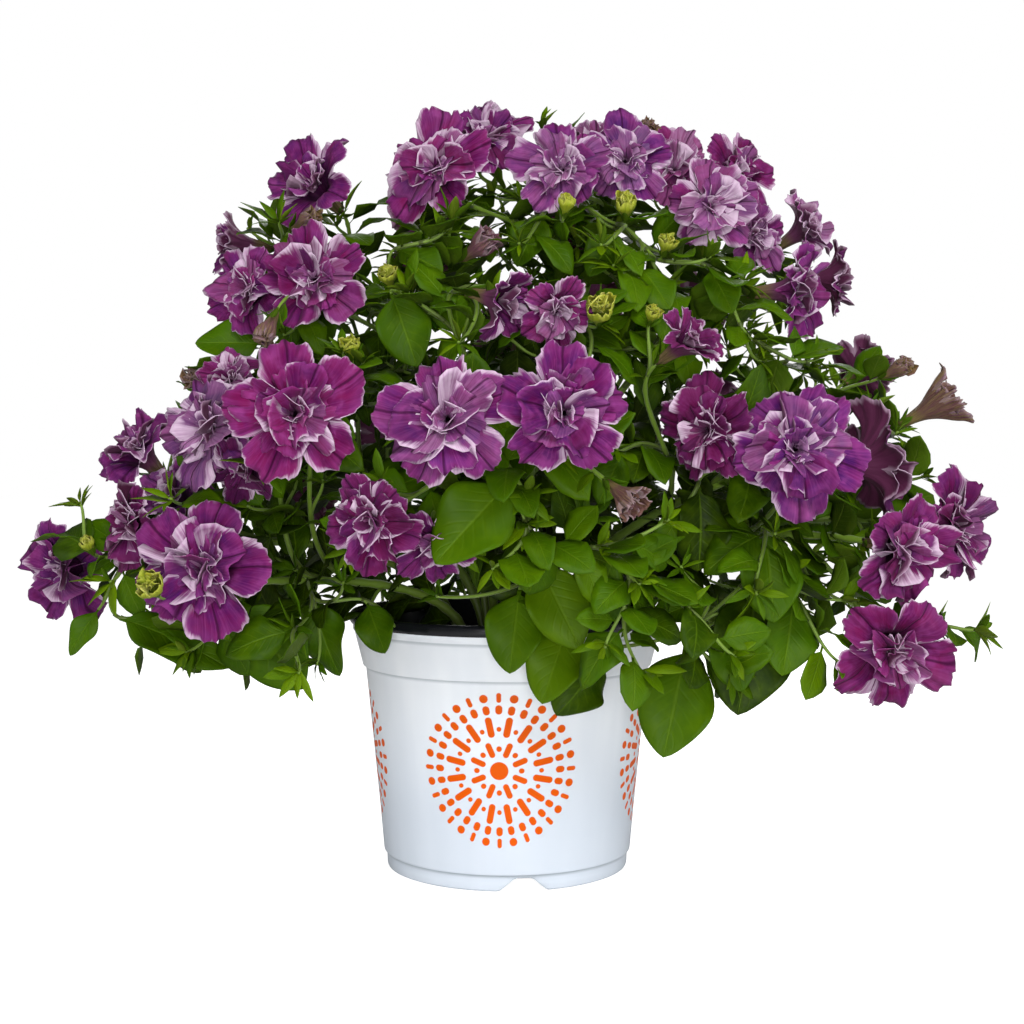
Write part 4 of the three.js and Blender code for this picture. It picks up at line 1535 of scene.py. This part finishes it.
@dataclass
class Shoot:
    """A stem from the mix to its last flower, its stalks, side branches and leaves.

    Radii and lengths are in mm, nodes are shares of a stem's length, and a skin is the
    number of its rings and sides.
    """

    name: str
    place: ShootPlace
    seed: int
    mix_level: float = 125.0
    stem_radii: Pair = (2.6, 1.7)
    stalk_radii: Pair = (1.7, 1.1)
    branch_radii: Pair = (1.3, 0.8)
    stem_nodes: tuple[float, ...] = tuple(np.arange(0.16, 0.98, 0.06))
    stalk_nodes: tuple[float, ...] = (0.2, 0.42, 0.62, 0.8)
    twig_nodes: tuple[float, ...] = (0.2, 0.5, 0.8)
    stem_skin: tuple[int, int] = (60, 10)
    stalk_skin: tuple[int, int] = (26, 8)
    branch_skin: tuple[int, int] = (14, 6)
    stem_leaf: Pair = (38, 54)
    stalk_leaf: Pair = (26, 42)
    bract: Pair = (16, 24)
    twig_leaf: Pair = (22, 34)
    branch_leaf: Pair = (27, 43)
    tip_leaf: Pair = (14, 22)
    sepals: int = 5
    longest_sepal: float = 14.0
    calyx_radius: float = 1.0
    calyx_depth: float = 2.0
    rosette: int = 8
    least_branch: float = 25.0
    short_cost: float = 60.0
    turn_cost: float = 1.9
    leaf_spacing: float = 11.0
    centre_height: float = 190.0

    def __post_init__(self) -> None:
        """Works out the curves of the stem and its stalks."""
        self.rng = np.random.default_rng(1000 + self.seed)
        self.centre = self.centre_height * UP
        last = FLOWERS[self.place.end]
        foot = np.array([*self.place.base, self.mix_level])
        self.stem = Stalk.between(foot, UP, last.stalk_end, last.facing, self.stem_radii)
        self.stalks: list[Stalk] = []
        for name, t in self.place.stalks.items():
            start, leaving, flower = self.stem.at(t), self.stem.along(t), FLOWERS[name]
            ends = (start, leaving, flower.stalk_end, flower.facing)
            self.stalks.append(Stalk.between(*ends, self.stalk_radii))
        self.leaves = LeafSet()
        self.branches: list[Stalk] = []
        self._leaf_stem()
        self._leaf_stalks()

    def _leaf_from(
        self, stalk: Stalk, t: float, turn: float, size: float, shape: int, tint: float
    ) -> None:
        """Adds a leaf to a stalk, unless it would hide a flower or reach into the clearing.

        Args:
            stalk: What the leaf grows from.
            t: Where along it.
            turn: Radians round it.
            size: The leaf's length in mm.
            shape: The number of its shape.
            tint: From 0, old and shaded, to 1, young.
        """
        at, along = stalk.at(t), stalk.along(t)
        across = square_to(along, turn)
        outward = unit(at - self.centre)
        out = unit(0.9 * across + 0.4 * along + 0.35 * outward + 0.1 * UP)
        face = 0.9 * outward + 0.8 * UP + self.rng.normal(0, 0.22, 3)
        tip, middle = at + out * size, at + out * size * 0.6
        if hides_flower(tip) or hides_flower(middle) or in_clearing(tip):
            return
        # Leaves are painted darker the deeper they lie in the crown: painted shade, as little light
        # reaches them there.
        shell = float(np.linalg.norm((at + 0.5 * size * out - CROWN_CENTRE) / CROWN_RADII))
        tint = tint * min(1.0, max(0.1, (shell - 0.5) / 0.35))
        self.leaves.add(at + across * stalk.radius(t) * 0.6, out, face, size, shape, tint)

    def _pick(self, kind: LeafKind) -> int:
        """The number of one of the shapes of a kind."""
        numbers = shape_numbers(kind)
        return int(self.rng.integers(numbers.start, numbers.stop))

    def _leaf_stem(self) -> None:
        """Spaces leaves along the stem."""
        for i, t in enumerate(self.stem_nodes):
            size = self.rng.uniform(*self.stem_leaf) * (1.1 - 0.3 * t)
            turn = GOLDEN_ANGLE * (i + self.seed)
            shape = self._pick(LeafKind.BROAD)
            self._leaf_from(self.stem, t, turn, size, shape, self.rng.uniform(0.1, 0.6))

    def _leaf_stalks(self) -> None:
        """Puts leaves along the stalks and small ones under each flower."""
        rng = self.rng
        for stalk in self.stalks:
            for t in self.stalk_nodes:
                turn, size = rng.uniform(0, 6.3), rng.uniform(*self.stalk_leaf)
                shape = self._pick(LeafKind.BROAD)
                self._leaf_from(stalk, t, turn, size, shape, rng.uniform(0.2, 0.7))
        for stalk in (self.stem, *self.stalks):
            self._calyx(stalk, self.longest_sepal)
            for i, t in enumerate((0.88, 0.89, 0.94)):
                turn, size = rng.uniform(0, 1) + 1.6 * i, rng.uniform(*self.bract)
                self._leaf_from(stalk, t, turn, size, self._pick(LeafKind.NARROW), 0.7)

    def _calyx(self, stalk: Stalk, length: float) -> None:
        """Adds the narrow sepals that hold a flower's tube."""
        end, axis = stalk.at(1.0), stalk.along(1.0)
        for i in range(self.sepals):
            away = square_to(axis, 2 * math.pi * (i + self.rng.uniform(-0.1, 0.1)) / self.sepals)
            out = unit(axis + self.rng.uniform(0.3, 0.6) * away)
            size = length * self.rng.uniform(0.85, 1.15)
            foot = end + self.calyx_radius * away - self.calyx_depth * axis
            self.leaves.add(foot, out, -away, size, self._pick(LeafKind.NARROW), 0.5)

    def reach(self, goal: Array) -> tuple[float, Stalk, float]:
        """The easiest way from this shoot to a goal.

        Args:
            goal: A point in mm.

        Returns:
            The cost in mm, the stalk to leave and where along it.
        """
        best = (math.inf, self.stem, 0.5)
        for stalk in (self.stem, *self.stalks, *self.branches):
            gaps = goal - stalk.fork_points
            lengths = np.linalg.norm(gaps, axis=1)
            straight = np.sum(gaps * stalk.fork_ways, axis=1) / lengths
            short = self.short_cost * (lengths < self.least_branch)
            costs = lengths * (self.turn_cost - straight) + short
            i = int(np.argmin(costs))
            if costs[i] < best[0]:
                best = (float(costs[i]), stalk, float(stalk.forks[i]))
        return best

    def twig(self, stalk: Stalk, t: float, goal: Array, arriving: Array) -> Stalk:
        """Grows a bare twig from a place on a stalk to a goal."""
        twig = Stalk.between(stalk.at(t), stalk.along(t), goal, arriving, self.branch_radii)
        self.branches.append(twig)
        return twig

    def flower_stalk(self, stalk: Stalk, t: float, flower: FlowerPlace) -> None:
        """Grows a thin stalk to a small flower."""
        twig = self.twig(stalk, t, flower.stalk_end, flower.facing)
        self._calyx(twig, min(self.longest_sepal, 6.0 + 0.35 * flower.across))
        for share in (0.3, 0.55, 0.8):
            turn, size = self.rng.uniform(0, 6.3), self.rng.uniform(*self.twig_leaf)
            self._leaf_from(twig, share, turn, size, self._pick(LeafKind.BROAD), 0.5)

    def branch(self, stalk: Stalk, t: float, goal: Array) -> None:
        """Grows a leafy side branch with a rosette of narrow leaves at its tip."""
        rng = self.rng
        straight = goal - stalk.at(t)
        outward = unit(goal - self.centre)
        twig = self.twig(stalk, t, goal, unit(unit(straight) + 0.5 * outward + 0.4 * UP))
        count = max(2, int(float(np.linalg.norm(straight)) / self.leaf_spacing))
        for i in range(count):
            share = 0.15 + 0.72 * (i + rng.uniform(-0.2, 0.2)) / count
            size = rng.uniform(*self.branch_leaf) * (1.05 - 0.35 * share)
            turn = GOLDEN_ANGLE * i + rng.uniform(-0.3, 0.3)
            shape = self._pick(LeafKind.BROAD)
            self._leaf_from(twig, share, turn, size, shape, rng.uniform(0.15, 0.45) + 0.4 * share)
        largest = rng.uniform(*self.tip_leaf)
        for i in range(self.rosette):
            t = 1.0 - 0.1 * (1 - i / self.rosette)
            turn = GOLDEN_ANGLE * i + rng.uniform(-0.2, 0.2)
            size = largest * (1.15 - 0.6 * i / self.rosette) * rng.uniform(0.85, 1.15)
            shape = self._pick(LeafKind.NARROW)
            self._leaf_from(twig, t, turn, size, shape, rng.uniform(0.5, 1.0))

    def build(self, stem_finish: Material, down: Down, spray: LeafSpray) -> list[Piece]:
        """Makes the stems and the leaves."""
        draft = MeshDraft()
        self.stem.sweep(draft, *self.stem_skin, self.stem_nodes)
        for stalk in self.stalks:
            stalk.sweep(draft, *self.stalk_skin, self.stalk_nodes)
        for stalk in self.branches:
            stalk.sweep(draft, *self.branch_skin, self.twig_nodes)
        stems = weld(draft.build(f"stems_{self.name}", [stem_finish]))
        down.cover(stems)
        leaves = spray.grow(f"leaves_{self.name}", self.leaves)
        for piece in (stems, leaves):
            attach(piece, BODY)
        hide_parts(f"shoot_{self.name}")
        return [stems, leaves]


class Down:
    """The short hairs on stems and stalks, scattered by a node tree."""

    length: float = 1.3
    width: float = 0.08
    hairs_per_m2: float = 60000.0
    seed: int = 21

    def __init__(self, material: Material) -> None:
        """Builds the tree, with the hairs' finish."""
        spread = Spread("down", ["Density", "Width", "Length"])
        stems, width = spread.entry["Mesh"], spread.entry["Width"]
        roots = spread.scatter(stems, spread.entry["Density"], self.seed)
        cone = {"Vertices": 3, "Radius Bottom": 1.0, "Depth": 1.0}
        hair = spread.node("GeometryNodeMeshCone", cone)
        size = spread.node("ShaderNodeCombineXYZ", {0: width, 1: width, 2: spread.entry["Length"]})
        hairs = spread.place(roots[0], hair[0], roots["Rotation"], size[0])
        spread.finish(spread.dress(hairs, material), stems)
        self.spread = spread

    def cover(self, stems: Piece) -> None:
        """Covers a shoot's stems with hairs."""
        width, length = self.width * MM, self.length * MM
        self.spread.run(stems, {"Density": self.hairs_per_m2, "Width": width, "Length": length})


@dataclass(frozen=True)
class LargeLeaf:
    """One of the large leaves, by its foot and its tip in mm, and which of their shapes."""

    foot: Point
    tip: Point
    face: Point = (0.0, -1.0, 0.5)
    shape: int = 0
    tint: float = 0.4


LARGE_LEAVES: tuple[LargeLeaf, ...] = (
    LargeLeaf((2, -176, 236), (-33, -196, 201), (0.1, -1, 0.5), tint=0.6),
    LargeLeaf((34, -104, 157), (20, -128, 121), tint=0.7),
    LargeLeaf((17, -127, 191), (38, -144, 152), tint=0.7),
    LargeLeaf((7, -110, 176), (2, -130, 137), tint=0.6),
    LargeLeaf((52, -100, 138), (34, -120, 110), (0.6, -1, 0.2), 1, 0.2),
    LargeLeaf((98, -104, 144), (86, -128, 92), (0.1, -1, 0.3), 0, 0.6),
    LargeLeaf((138, -90, 176), (130, -112, 112), (0.3, -1, 0.3), 0, 0.15),
    LargeLeaf((118, -100, 160), (128, -120, 126), (0.2, -1, 0.5), 0, 0.5),
    LargeLeaf((158, -96, 172), (152, -118, 134), (0.4, -1, 0.4), 0, 0.5),
    LargeLeaf((140, -110, 208), (144, -128, 164), (0.1, -1, 0.4), 0, 0.45),
    LargeLeaf((104, -110, 232), (108, -122, 190), (0.3, -1, 0.4), 1, 0.1),
    LargeLeaf((108, -110, 170), (80, -124, 164), (-0.1, -1, 0.7), 0, 0.55),
    LargeLeaf((-149, -86, 166), (-114, -100, 124), (-0.1, -1, 0.6), 0, 0.5),
    LargeLeaf((-108, -84, 168), (-97, -96, 128), (-0.3, -1, 0.3), 1, 0.4),
    LargeLeaf((-78, -84, 166), (-68, -100, 143), (-0.1, -1, 0.5), 0, 0.35),
    LargeLeaf((-216, -84, 158), (-156, -98, 140), (0.0, -1, 0.8), 2, 0.4),
    LargeLeaf((-190, -76, 158), (-172, -86, 130), (0.0, -1, 0.5), 1, 0.15),
    LargeLeaf((-234, -60, 160), (-250, -70, 138), (-0.2, -1, 0.5), 2, 0.5),
    LargeLeaf((-140, -56, 312), (-174, -66, 314), (-0.1, -1, 0.4), 0, 0.5),
    LargeLeaf((-62, -110, 336), (-48, -122, 300), (0.0, -1, 0.5), 0, 0.35),
    LargeLeaf((20, -80, 382), (6, -92, 356), (0.0, -1, 0.7), 0, 0.3),
    LargeLeaf((62, -84, 372), (46, -98, 350), (0.1, -1, 0.6), 0, 0.3),
    LargeLeaf((74, -90, 352), (88, -108, 332), (0.1, -1, 0.8), 0, 0.55),
    LargeLeaf((112, -84, 352), (124, -98, 330), (0.2, -1, 0.8), 0, 0.5),
    LargeLeaf((-60, -90, 362), (-36, -102, 352), (0.0, -1, 0.8), 0, 0.35),
)


# Bright tips of young shoots, in mm.
TIPS: tuple[Point, ...] = (
    (19, -42, 440), (11, -172, 214), (50, -160, 203), (72, -142, 186), (141, -82, 312),
    (179, -52, 304), (112, -92, 358), (-87, -122, 305), (241, -82, 154), (-222, -82, 178),
    (-182, -112, 226), (232, -20, 262), (96, -146, 170), (58, -104, 352), (-34, -92, 372),
    (-128, -70, 380),
)

# Leafy tips that close the thin places of the crown, in mm.
INNER_TIPS: tuple[Point, ...] = (
    (2, 34, 368), (-14, 30, 374), (16, 44, 358), (-10, 22, 408), (6, 6, 420),
    (-2, 30, 392), (90, 14, 404), (136, 24, 316), (160, 14, 336), (250, -14, 236),
    (-244, -60, 222), (262, -90, 152), (-158, 10, 386), (-104, 6, 388), (-62, -70, 150),
    (-84, -50, 156),
)


@dataclass
class Bush:
    """All the shoots, and the rounded crown that their side branches fill out."""

    underside: float = 128.0
    goals: int = 300
    lowest: float = -0.2
    layers: tuple[float, ...] = (0.94, 0.8, 0.9, 0.66)
    longest_branch: float = 130.0
    leaf_bend: float = 1.08
    seed: int = 7

    def grow(self) -> list[Shoot]:
        """Makes the shoots, the stalks of the small flowers and a branch to each free goal."""
        self.shoots = [Shoot(name, place, i) for i, (name, place) in enumerate(SHOOTS.items())]
        for flower in SMALL_FLOWERS.values():
            shoot, stalk, t = self._nearest(flower.stalk_end)
            shoot.flower_stalk(stalk, t, flower)
        numbers = shape_numbers(LeafKind.LARGE)
        for leaf in LARGE_LEAVES:
            foot, way = np.array(leaf.foot, dtype=float), np.subtract(leaf.tip, leaf.foot, dtype=float)
            shoot, stalk, t = self._nearest(foot)
            shoot.twig(stalk, t, foot, unit(way))
            size = float(np.linalg.norm(way)) * self.leaf_bend
            shoot.leaves.add(foot, way, np.array(leaf.face), size, numbers[leaf.shape], leaf.tint)
        for tip in TIPS:
            self._branch_to(np.array(tip, dtype=float))
        rng = np.random.default_rng(self.seed)
        for i in range(self.goals):
            goal = self._goal(i, rng)
            if goal[2] >= self.underside and not hides_flower(goal) and not in_clearing(goal):
                self._branch_to(goal, self.longest_branch)
        for tip in INNER_TIPS:
            self._branch_to(np.array(tip, dtype=float))
        return self.shoots

    def _branch_to(self, goal: Array, longest: float = math.inf) -> None:
        """Grows a leafy branch to a goal from the nearest shoot, unless it is too long."""
        shoot, stalk, t = self._nearest(goal)
        if np.linalg.norm(stalk.at(t) - goal) < longest:
            shoot.branch(stalk, t, goal)

    def _nearest(self, goal: Array) -> tuple[Shoot, Stalk, float]:
        """The shoot, stalk and place on it that a branch to a goal best leaves from."""
        reaches = [shoot.reach(goal) for shoot in self.shoots]
        best = min(range(len(reaches)), key=lambda k: reaches[k][0])
        return self.shoots[best], reaches[best][1], reaches[best][2]

    def _goal(self, i: int, rng: np.random.Generator) -> Array:
        """The tip of one side branch, on one of the layers of the crown."""
        rise = 1 - (1 - self.lowest) * (i + 0.5) / self.goals
        flat = math.sqrt(1 - rise**2)
        turn = GOLDEN_ANGLE * i
        away = np.array([math.cos(turn) * flat, math.sin(turn) * flat, rise])
        layer = self.layers[i % len(self.layers)] * rng.uniform(0.94, 1.06)
        return CROWN_CENTRE + away * CROWN_RADII * layer


# Pot and potting mix -------------------------------------------------------


@dataclass
class NurseryPot:
    """A thin formed pot: foot with drainage channels, body, flared band, rolled lip."""

    wall: float = 1.5
    columns: int = 240
    foot_inside: float = 55.0
    foot_top: float = 12.0
    channels: int = 3
    channel_circle: float = 70.0
    channel_turn: float = 7.6
    channel_width: Pair = (27.6, 9.4)
    channel_height: float = 7.9
    holes: int = 6
    hole_radius: float = 4.5
    hole_circle: float = 40.0
    hole_sides: int = 32
    hole_depth: Pair = (4.0, 14.0)

    def section(self) -> list[tuple[float, float, int]]:
        """The wall's section as radius, height and material slot, from below to inside."""
        outside = [
            (0.0, 8.5), (30.0, 8.5), (56.5, 8.5), (58.0, 8.1), (58.8, 6.6), (60.6, 1.0),
            (61.6, 0.1), (63.0, 0.0), (68.0, 0.0), (71.4, 0.0), (72.4, 0.4), (72.8, 1.4),
            (73.0, 5.0), (73.2, 9.0), (73.4, 9.5), (74.3, 9.7), (74.7, 10.1), (74.9, 11.0),
            (75.7, 20.0), (77.5, 40.0), (79.5, 60.0), (81.5, 80.0), (83.5, 100.0),
            (85.3, 118.0), (85.5, 121.0), (85.8, 121.6), (86.9, 122.0), (87.4, 122.4),
            (87.6, 123.2), (88.3, 126.0), (91.0, 137.0), (92.5, 143.0), (93.1, 143.5),
            (93.3, 144.1), (93.2, 144.8), (93.5, 146.6), (93.9, 147.7),
        ]
        lip = [
            (94.5, 147.9), (95.0, 148.5), (95.2, 149.8), (95.2, 152.2), (94.9, 153.4),
            (94.2, 154.2), (93.4, 154.4), (92.5, 154.1), (92.0, 153.2), (91.8, 151.5),
            (91.7, 148.0), (89.6, 138.0), (86.4, 125.0), (85.6, 122.8), (84.7, 121.6),
            (84.0, 119.0), (82.0, 100.0), (78.0, 60.0), (74.0, 20.0), (73.0, 11.0),
            (71.6, 9.4), (71.2, 4.0), (70.6, 1.8), (69.0, 1.5), (64.0, 1.5), (62.6, 2.2),
            (60.6, 8.0), (58.6, 9.9), (56.5, 10.0), (30.0, 10.0), (0.0, 10.0),
        ]
        return [(r, z, 0) for r, z in outside] + [(r, z, 1) for r, z in lip]

    def channel(self, angle: Array) -> Array:
        """How far the channels lift the foot at an angle round the pot."""
        turn = math.radians(self.channel_turn)
        sector = 2 * math.pi / self.channels
        local = np.mod(angle - turn + sector / 2, sector) - sector / 2
        side = np.abs(local) * self.channel_circle
        low, high = self.channel_width[0] / 2, self.channel_width[1] / 2
        return self.channel_height * np.clip((low - side) / (low - high), 0, 1)

    def _drill(self, pot: Piece) -> None:
        """Cuts the ring of drain holes through the floor."""
        draft = MeshDraft()
        turn = round_angles(self.hole_sides)
        around = self.hole_radius * np.stack([np.cos(turn), np.sin(turn), 0 * turn], axis=-1)
        low, high = self.hole_depth
        for angle in round_angles(self.holes):
            middle = self.hole_circle * np.array([math.cos(angle), math.sin(angle), 0])
            levels = [(0.0, low), (1.0, low), (1.0, high), (0.0, high)]
            rings = [middle + share * around + UP * z for share, z in levels]
            draft.add_grid(np.stack(rings), {}, wrap=True)
        bits = weld(draft.build("bits", []))
        cut = pot.modifiers.new("drains", "BOOLEAN")
        cut.operation = "DIFFERENCE"
        cut.solver = "EXACT"
        cut.object = bits
        settle(pot)
        bpy.data.objects.remove(bits)

    def build(self, materials: Sequence[Material]) -> Piece:
        """Makes the pot in the place of its solid."""
        radii, levels, slots = (np.array(part)[:, None] for part in zip(*self.section()))
        angle = round_angles(self.columns)[None, :]
        lift = self.channel(angle) * (radii > self.foot_inside)
        lifted = np.maximum(levels, np.where(slots == 0, lift, lift + self.wall * (lift > 0)))
        z = np.where(levels > self.foot_top, levels, lifted)
        draft = MeshDraft()
        grid = np.stack([radii * np.sin(angle), -radii * np.cos(angle), z], axis=-1)
        draft.add_grid(grid, {}, slot=slots[:-1], wrap=True)
        pot = weld(draft.build("pot_shell", materials))
        self._drill(pot)
        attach(pot, BODY)
        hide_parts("pot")
        return pot


@dataclass
class PottingMix:
    """The crumbly surface and body of the potting mix, with crumbs of bark on it."""

    pot: NurseryPot
    rim_level: float = 128.0
    crown_level: float = 131.0
    crown_radius: float = 85.0
    crown_rows: int = 60
    columns: int = 120
    channel_clearance: float = 2.0
    crumb: float = 2.2
    crumbs_per_m2: float = 50000.0
    strewn_radius: float = 83.0
    seed: int = 11

    def _section(self) -> Array:
        """The outline below its top as radius and height, from the middle of the floor."""
        return np.array(
            [
                (0.0, 10.4), (56.0, 10.4), (60.0, 9.6), (62.8, 2.0), (70.8, 2.0), (71.0, 9.0),
                (72.6, 11.5), (83.9, 121.8), (85.8, 124.5), (86.6, self.rim_level),
            ]
        )

    def _rough(self, x: Array, y: Array) -> Array:
        """How high the lumps of the surface are at each point."""
        lumps = ((0.9, 0.22, 0.5), (0.7, 0.41, 1.7), (0.5, 0.83, 2.9), (0.35, 1.7, 4.1))
        return sum(
            height * np.sin(x * k + phase) * np.cos(y * k * 1.13 + 2 * phase)
            for height, k, phase in lumps
        )

    def build(self, material: Material) -> Piece:
        """Makes the mix in the place of its solid."""
        section = self._section()
        rim, middle = (self.crown_radius, self.rim_level), (0.0, self.crown_level)
        top = np.linspace(rim, middle, self.crown_rows)
        r, z = (part[:, None] for part in np.concatenate([section, top]).T)
        angle = round_angles(self.columns)[None, :]
        x, y = r * np.sin(angle), -r * np.cos(angle)
        on_top = np.arange(len(r))[:, None] >= len(section)
        z = z + np.where(on_top, self._rough(x, y) - 0.6, 0)
        lift = self.pot.channel(angle)
        over_channel = (r > self.pot.foot_inside) & (z < self.pot.foot_top) & (lift > 0)
        z = np.where(over_channel, np.maximum(z, lift + self.channel_clearance), z)
        strewn = np.where(on_top & (r < self.strewn_radius), 1.0, 0.0)
        draft = MeshDraft()
        draft.add_grid(np.stack([x, y, z], axis=-1), {"strewn": strewn}, wrap=True)
        mix = weld(draft.build("mix_body", [material]))
        self._strew(mix, material)
        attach(mix, BODY)
        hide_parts("potting_mix")
        return mix

    def _strew(self, mix: Piece, material: Material) -> None:
        """Strews crumbs over the top of the mix with a node tree."""
        spread = Spread("crumbs", ["Density", "Size"])
        density = spread.product(spread.named("strewn"), spread.entry["Density"])
        places = spread.scatter(spread.entry["Mesh"], density, self.seed)
        ball = spread.node("GeometryNodeMeshIcoSphere", {"Radius": 0.5, "Subdivisions": 1})
        turn = spread.random((0.0, 0.0, 0.0), (6.3, 6.3, 6.3), self.seed + 1)
        size = spread.random((0.4, 0.25, 0.2), (1.9, 1.1, 0.8), self.seed + 2)
        scaled = {"operation": "SCALE", 0: size, "Scale": spread.entry["Size"]}
        grown = spread.node("ShaderNodeVectorMath", scaled)
        crumbs = spread.place(places[0], ball[0], turn, grown[0])
        spread.finish(spread.dress(crumbs, material), spread.entry["Mesh"])
        spread.run(mix, {"Density": self.crumbs_per_m2, "Size": self.crumb * MM})


# Studio --------------------------------------------------------------------


@dataclass(frozen=True)
class Lamp:
    """A square lamp: its place and width in mm and its power in watts."""

    name: str
    place: Point
    power: float
    width: float


LAMPS: tuple[Lamp, ...] = (
    Lamp("key", (250, -1150, 1100), 14.2, 650),
    Lamp("front", (0, -1400, 190), 11.2, 420),
    Lamp("left", (-1150, -350, 300), 3.6, 700),
    Lamp("right", (1150, -350, 300), 5.0, 700),
    Lamp("back", (200, 1000, 900), 11.0, 700),
)


@dataclass
class Studio:
    """The photograph's view, a pale floor and soft light, in mm and degrees."""

    focal: float = 60.0
    sensor: float = 36.0
    distance: float = 1034.0
    height: float = 259.0
    sideways: float = 3.0
    pitch: float = 2.52
    ambient: float = 0.09
    aim_height: float = 230.0
    floor_half: float = 6000.0
    floor_level: float = -0.2

    def build(self) -> None:
        """Makes the camera, the floor and the lights."""
        self._camera()
        self._floor()
        self._lights()

    def _camera(self) -> None:
        """Places the camera in front of the plant."""
        camera = bpy.data.cameras.new("view")
        camera.lens = self.focal
        camera.sensor_width = self.sensor
        camera.sensor_fit = "HORIZONTAL"
        camera.clip_start = 10 * MM
        view = put("view", camera)
        view.location = Vector((self.sideways, -self.distance, self.height)) * MM
        view.rotation_euler = (math.radians(90 - self.pitch), 0, 0)
        bpy.context.scene.camera = view

    def _floor(self) -> None:
        """Makes a wide pale floor."""
        draft = MeshDraft()
        x, y = np.meshgrid([-self.floor_half, self.floor_half], [-self.floor_half, self.floor_half])
        draft.add_grid(np.stack([x, y, np.full_like(x, self.floor_level)], axis=-1), {})
        floor = draft.build("floor", [PlainStage().build()])

    def _lights(self) -> None:
        """Makes the soft lights and the white surroundings, which light it only a little."""
        world = bpy.data.worlds.new("white_room")
        world.use_nodes = True
        tree = world.node_tree
        soft = tree.nodes["Background"]
        soft.inputs["Color"].default_value = (1, 1, 1, 1)
        soft.inputs["Strength"].default_value = self.ambient
        seen = add_node(tree, "ShaderNodeBackground", {"Color": (1, 1, 1, 1), "Strength": 1.0})
        ray = add_node(tree, "ShaderNodeLightPath").outputs["Is Camera Ray"]
        both = add_node(tree, "ShaderNodeMixShader", {0: ray, 1: soft.outputs[0], 2: seen.outputs[0]})
        tree.links.new(both.outputs[0], tree.nodes["World Output"].inputs["Surface"])
        bpy.context.scene.world = world
        bpy.context.scene.view_settings.view_transform = "Standard"
        for lamp in LAMPS:
            self._light(lamp)

    def _light(self, lamp: Lamp) -> None:
        """Adds a lamp that looks at the plant's middle."""
        data = bpy.data.lights.new(lamp.name, "AREA")
        data.energy = lamp.power
        data.size = lamp.width * MM
        light = put(lamp.name, data)
        light.location = Vector(lamp.place) * MM
        aim = Vector((0, 0, self.aim_height)) * MM - light.location
        light.rotation_euler = aim.to_track_quat("-Z", "Y").to_euler()


# The whole -----------------------------------------------------------------


def main() -> None:
    """Builds every piece in the place that the frame gives it."""
    logging.basicConfig(level=logging.INFO, format="%(name)s: %(message)s")
    Studio().build()

    pot = NurseryPot()
    pot.build([PotWhite().build(), PotBlack().build()])
    log.info("pot made")
    PottingMix(pot).build(Peat().build())
    log.info("potting mix made")

    petals = [PetalFace().build(), PetalBack().build()]
    buds = [BUD_FACE.build(), BUD_BACK.build()]
    shapes = flower_shapes()
    for seed, (name, place) in enumerate({**FLOWERS, **SMALL_FLOWERS}.items()):
        finish = buds if place.form is Form.BUD else petals
        flower = Flower(f"petals_{name}", place, shapes[place.form], seed).build(finish)
        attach(flower, BODY)
        if name in FLOWERS:
            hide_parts(f"flower_{name}")
        log.info("%s: %d faces", flower.name, len(flower.data.polygons))

    spray = LeafSpray(LeafFace().build(), LEAF_UNDER.build())
    stem_finish = StemSkin().build()
    down = Down(stem_finish)
    for shoot in Bush().grow():
        for piece in shoot.build(stem_finish, down, spray):
            log.info("%s: %d faces", piece.name, len(piece.data.polygons))
    spray.clear()


if __name__ == "__main__":
    main()
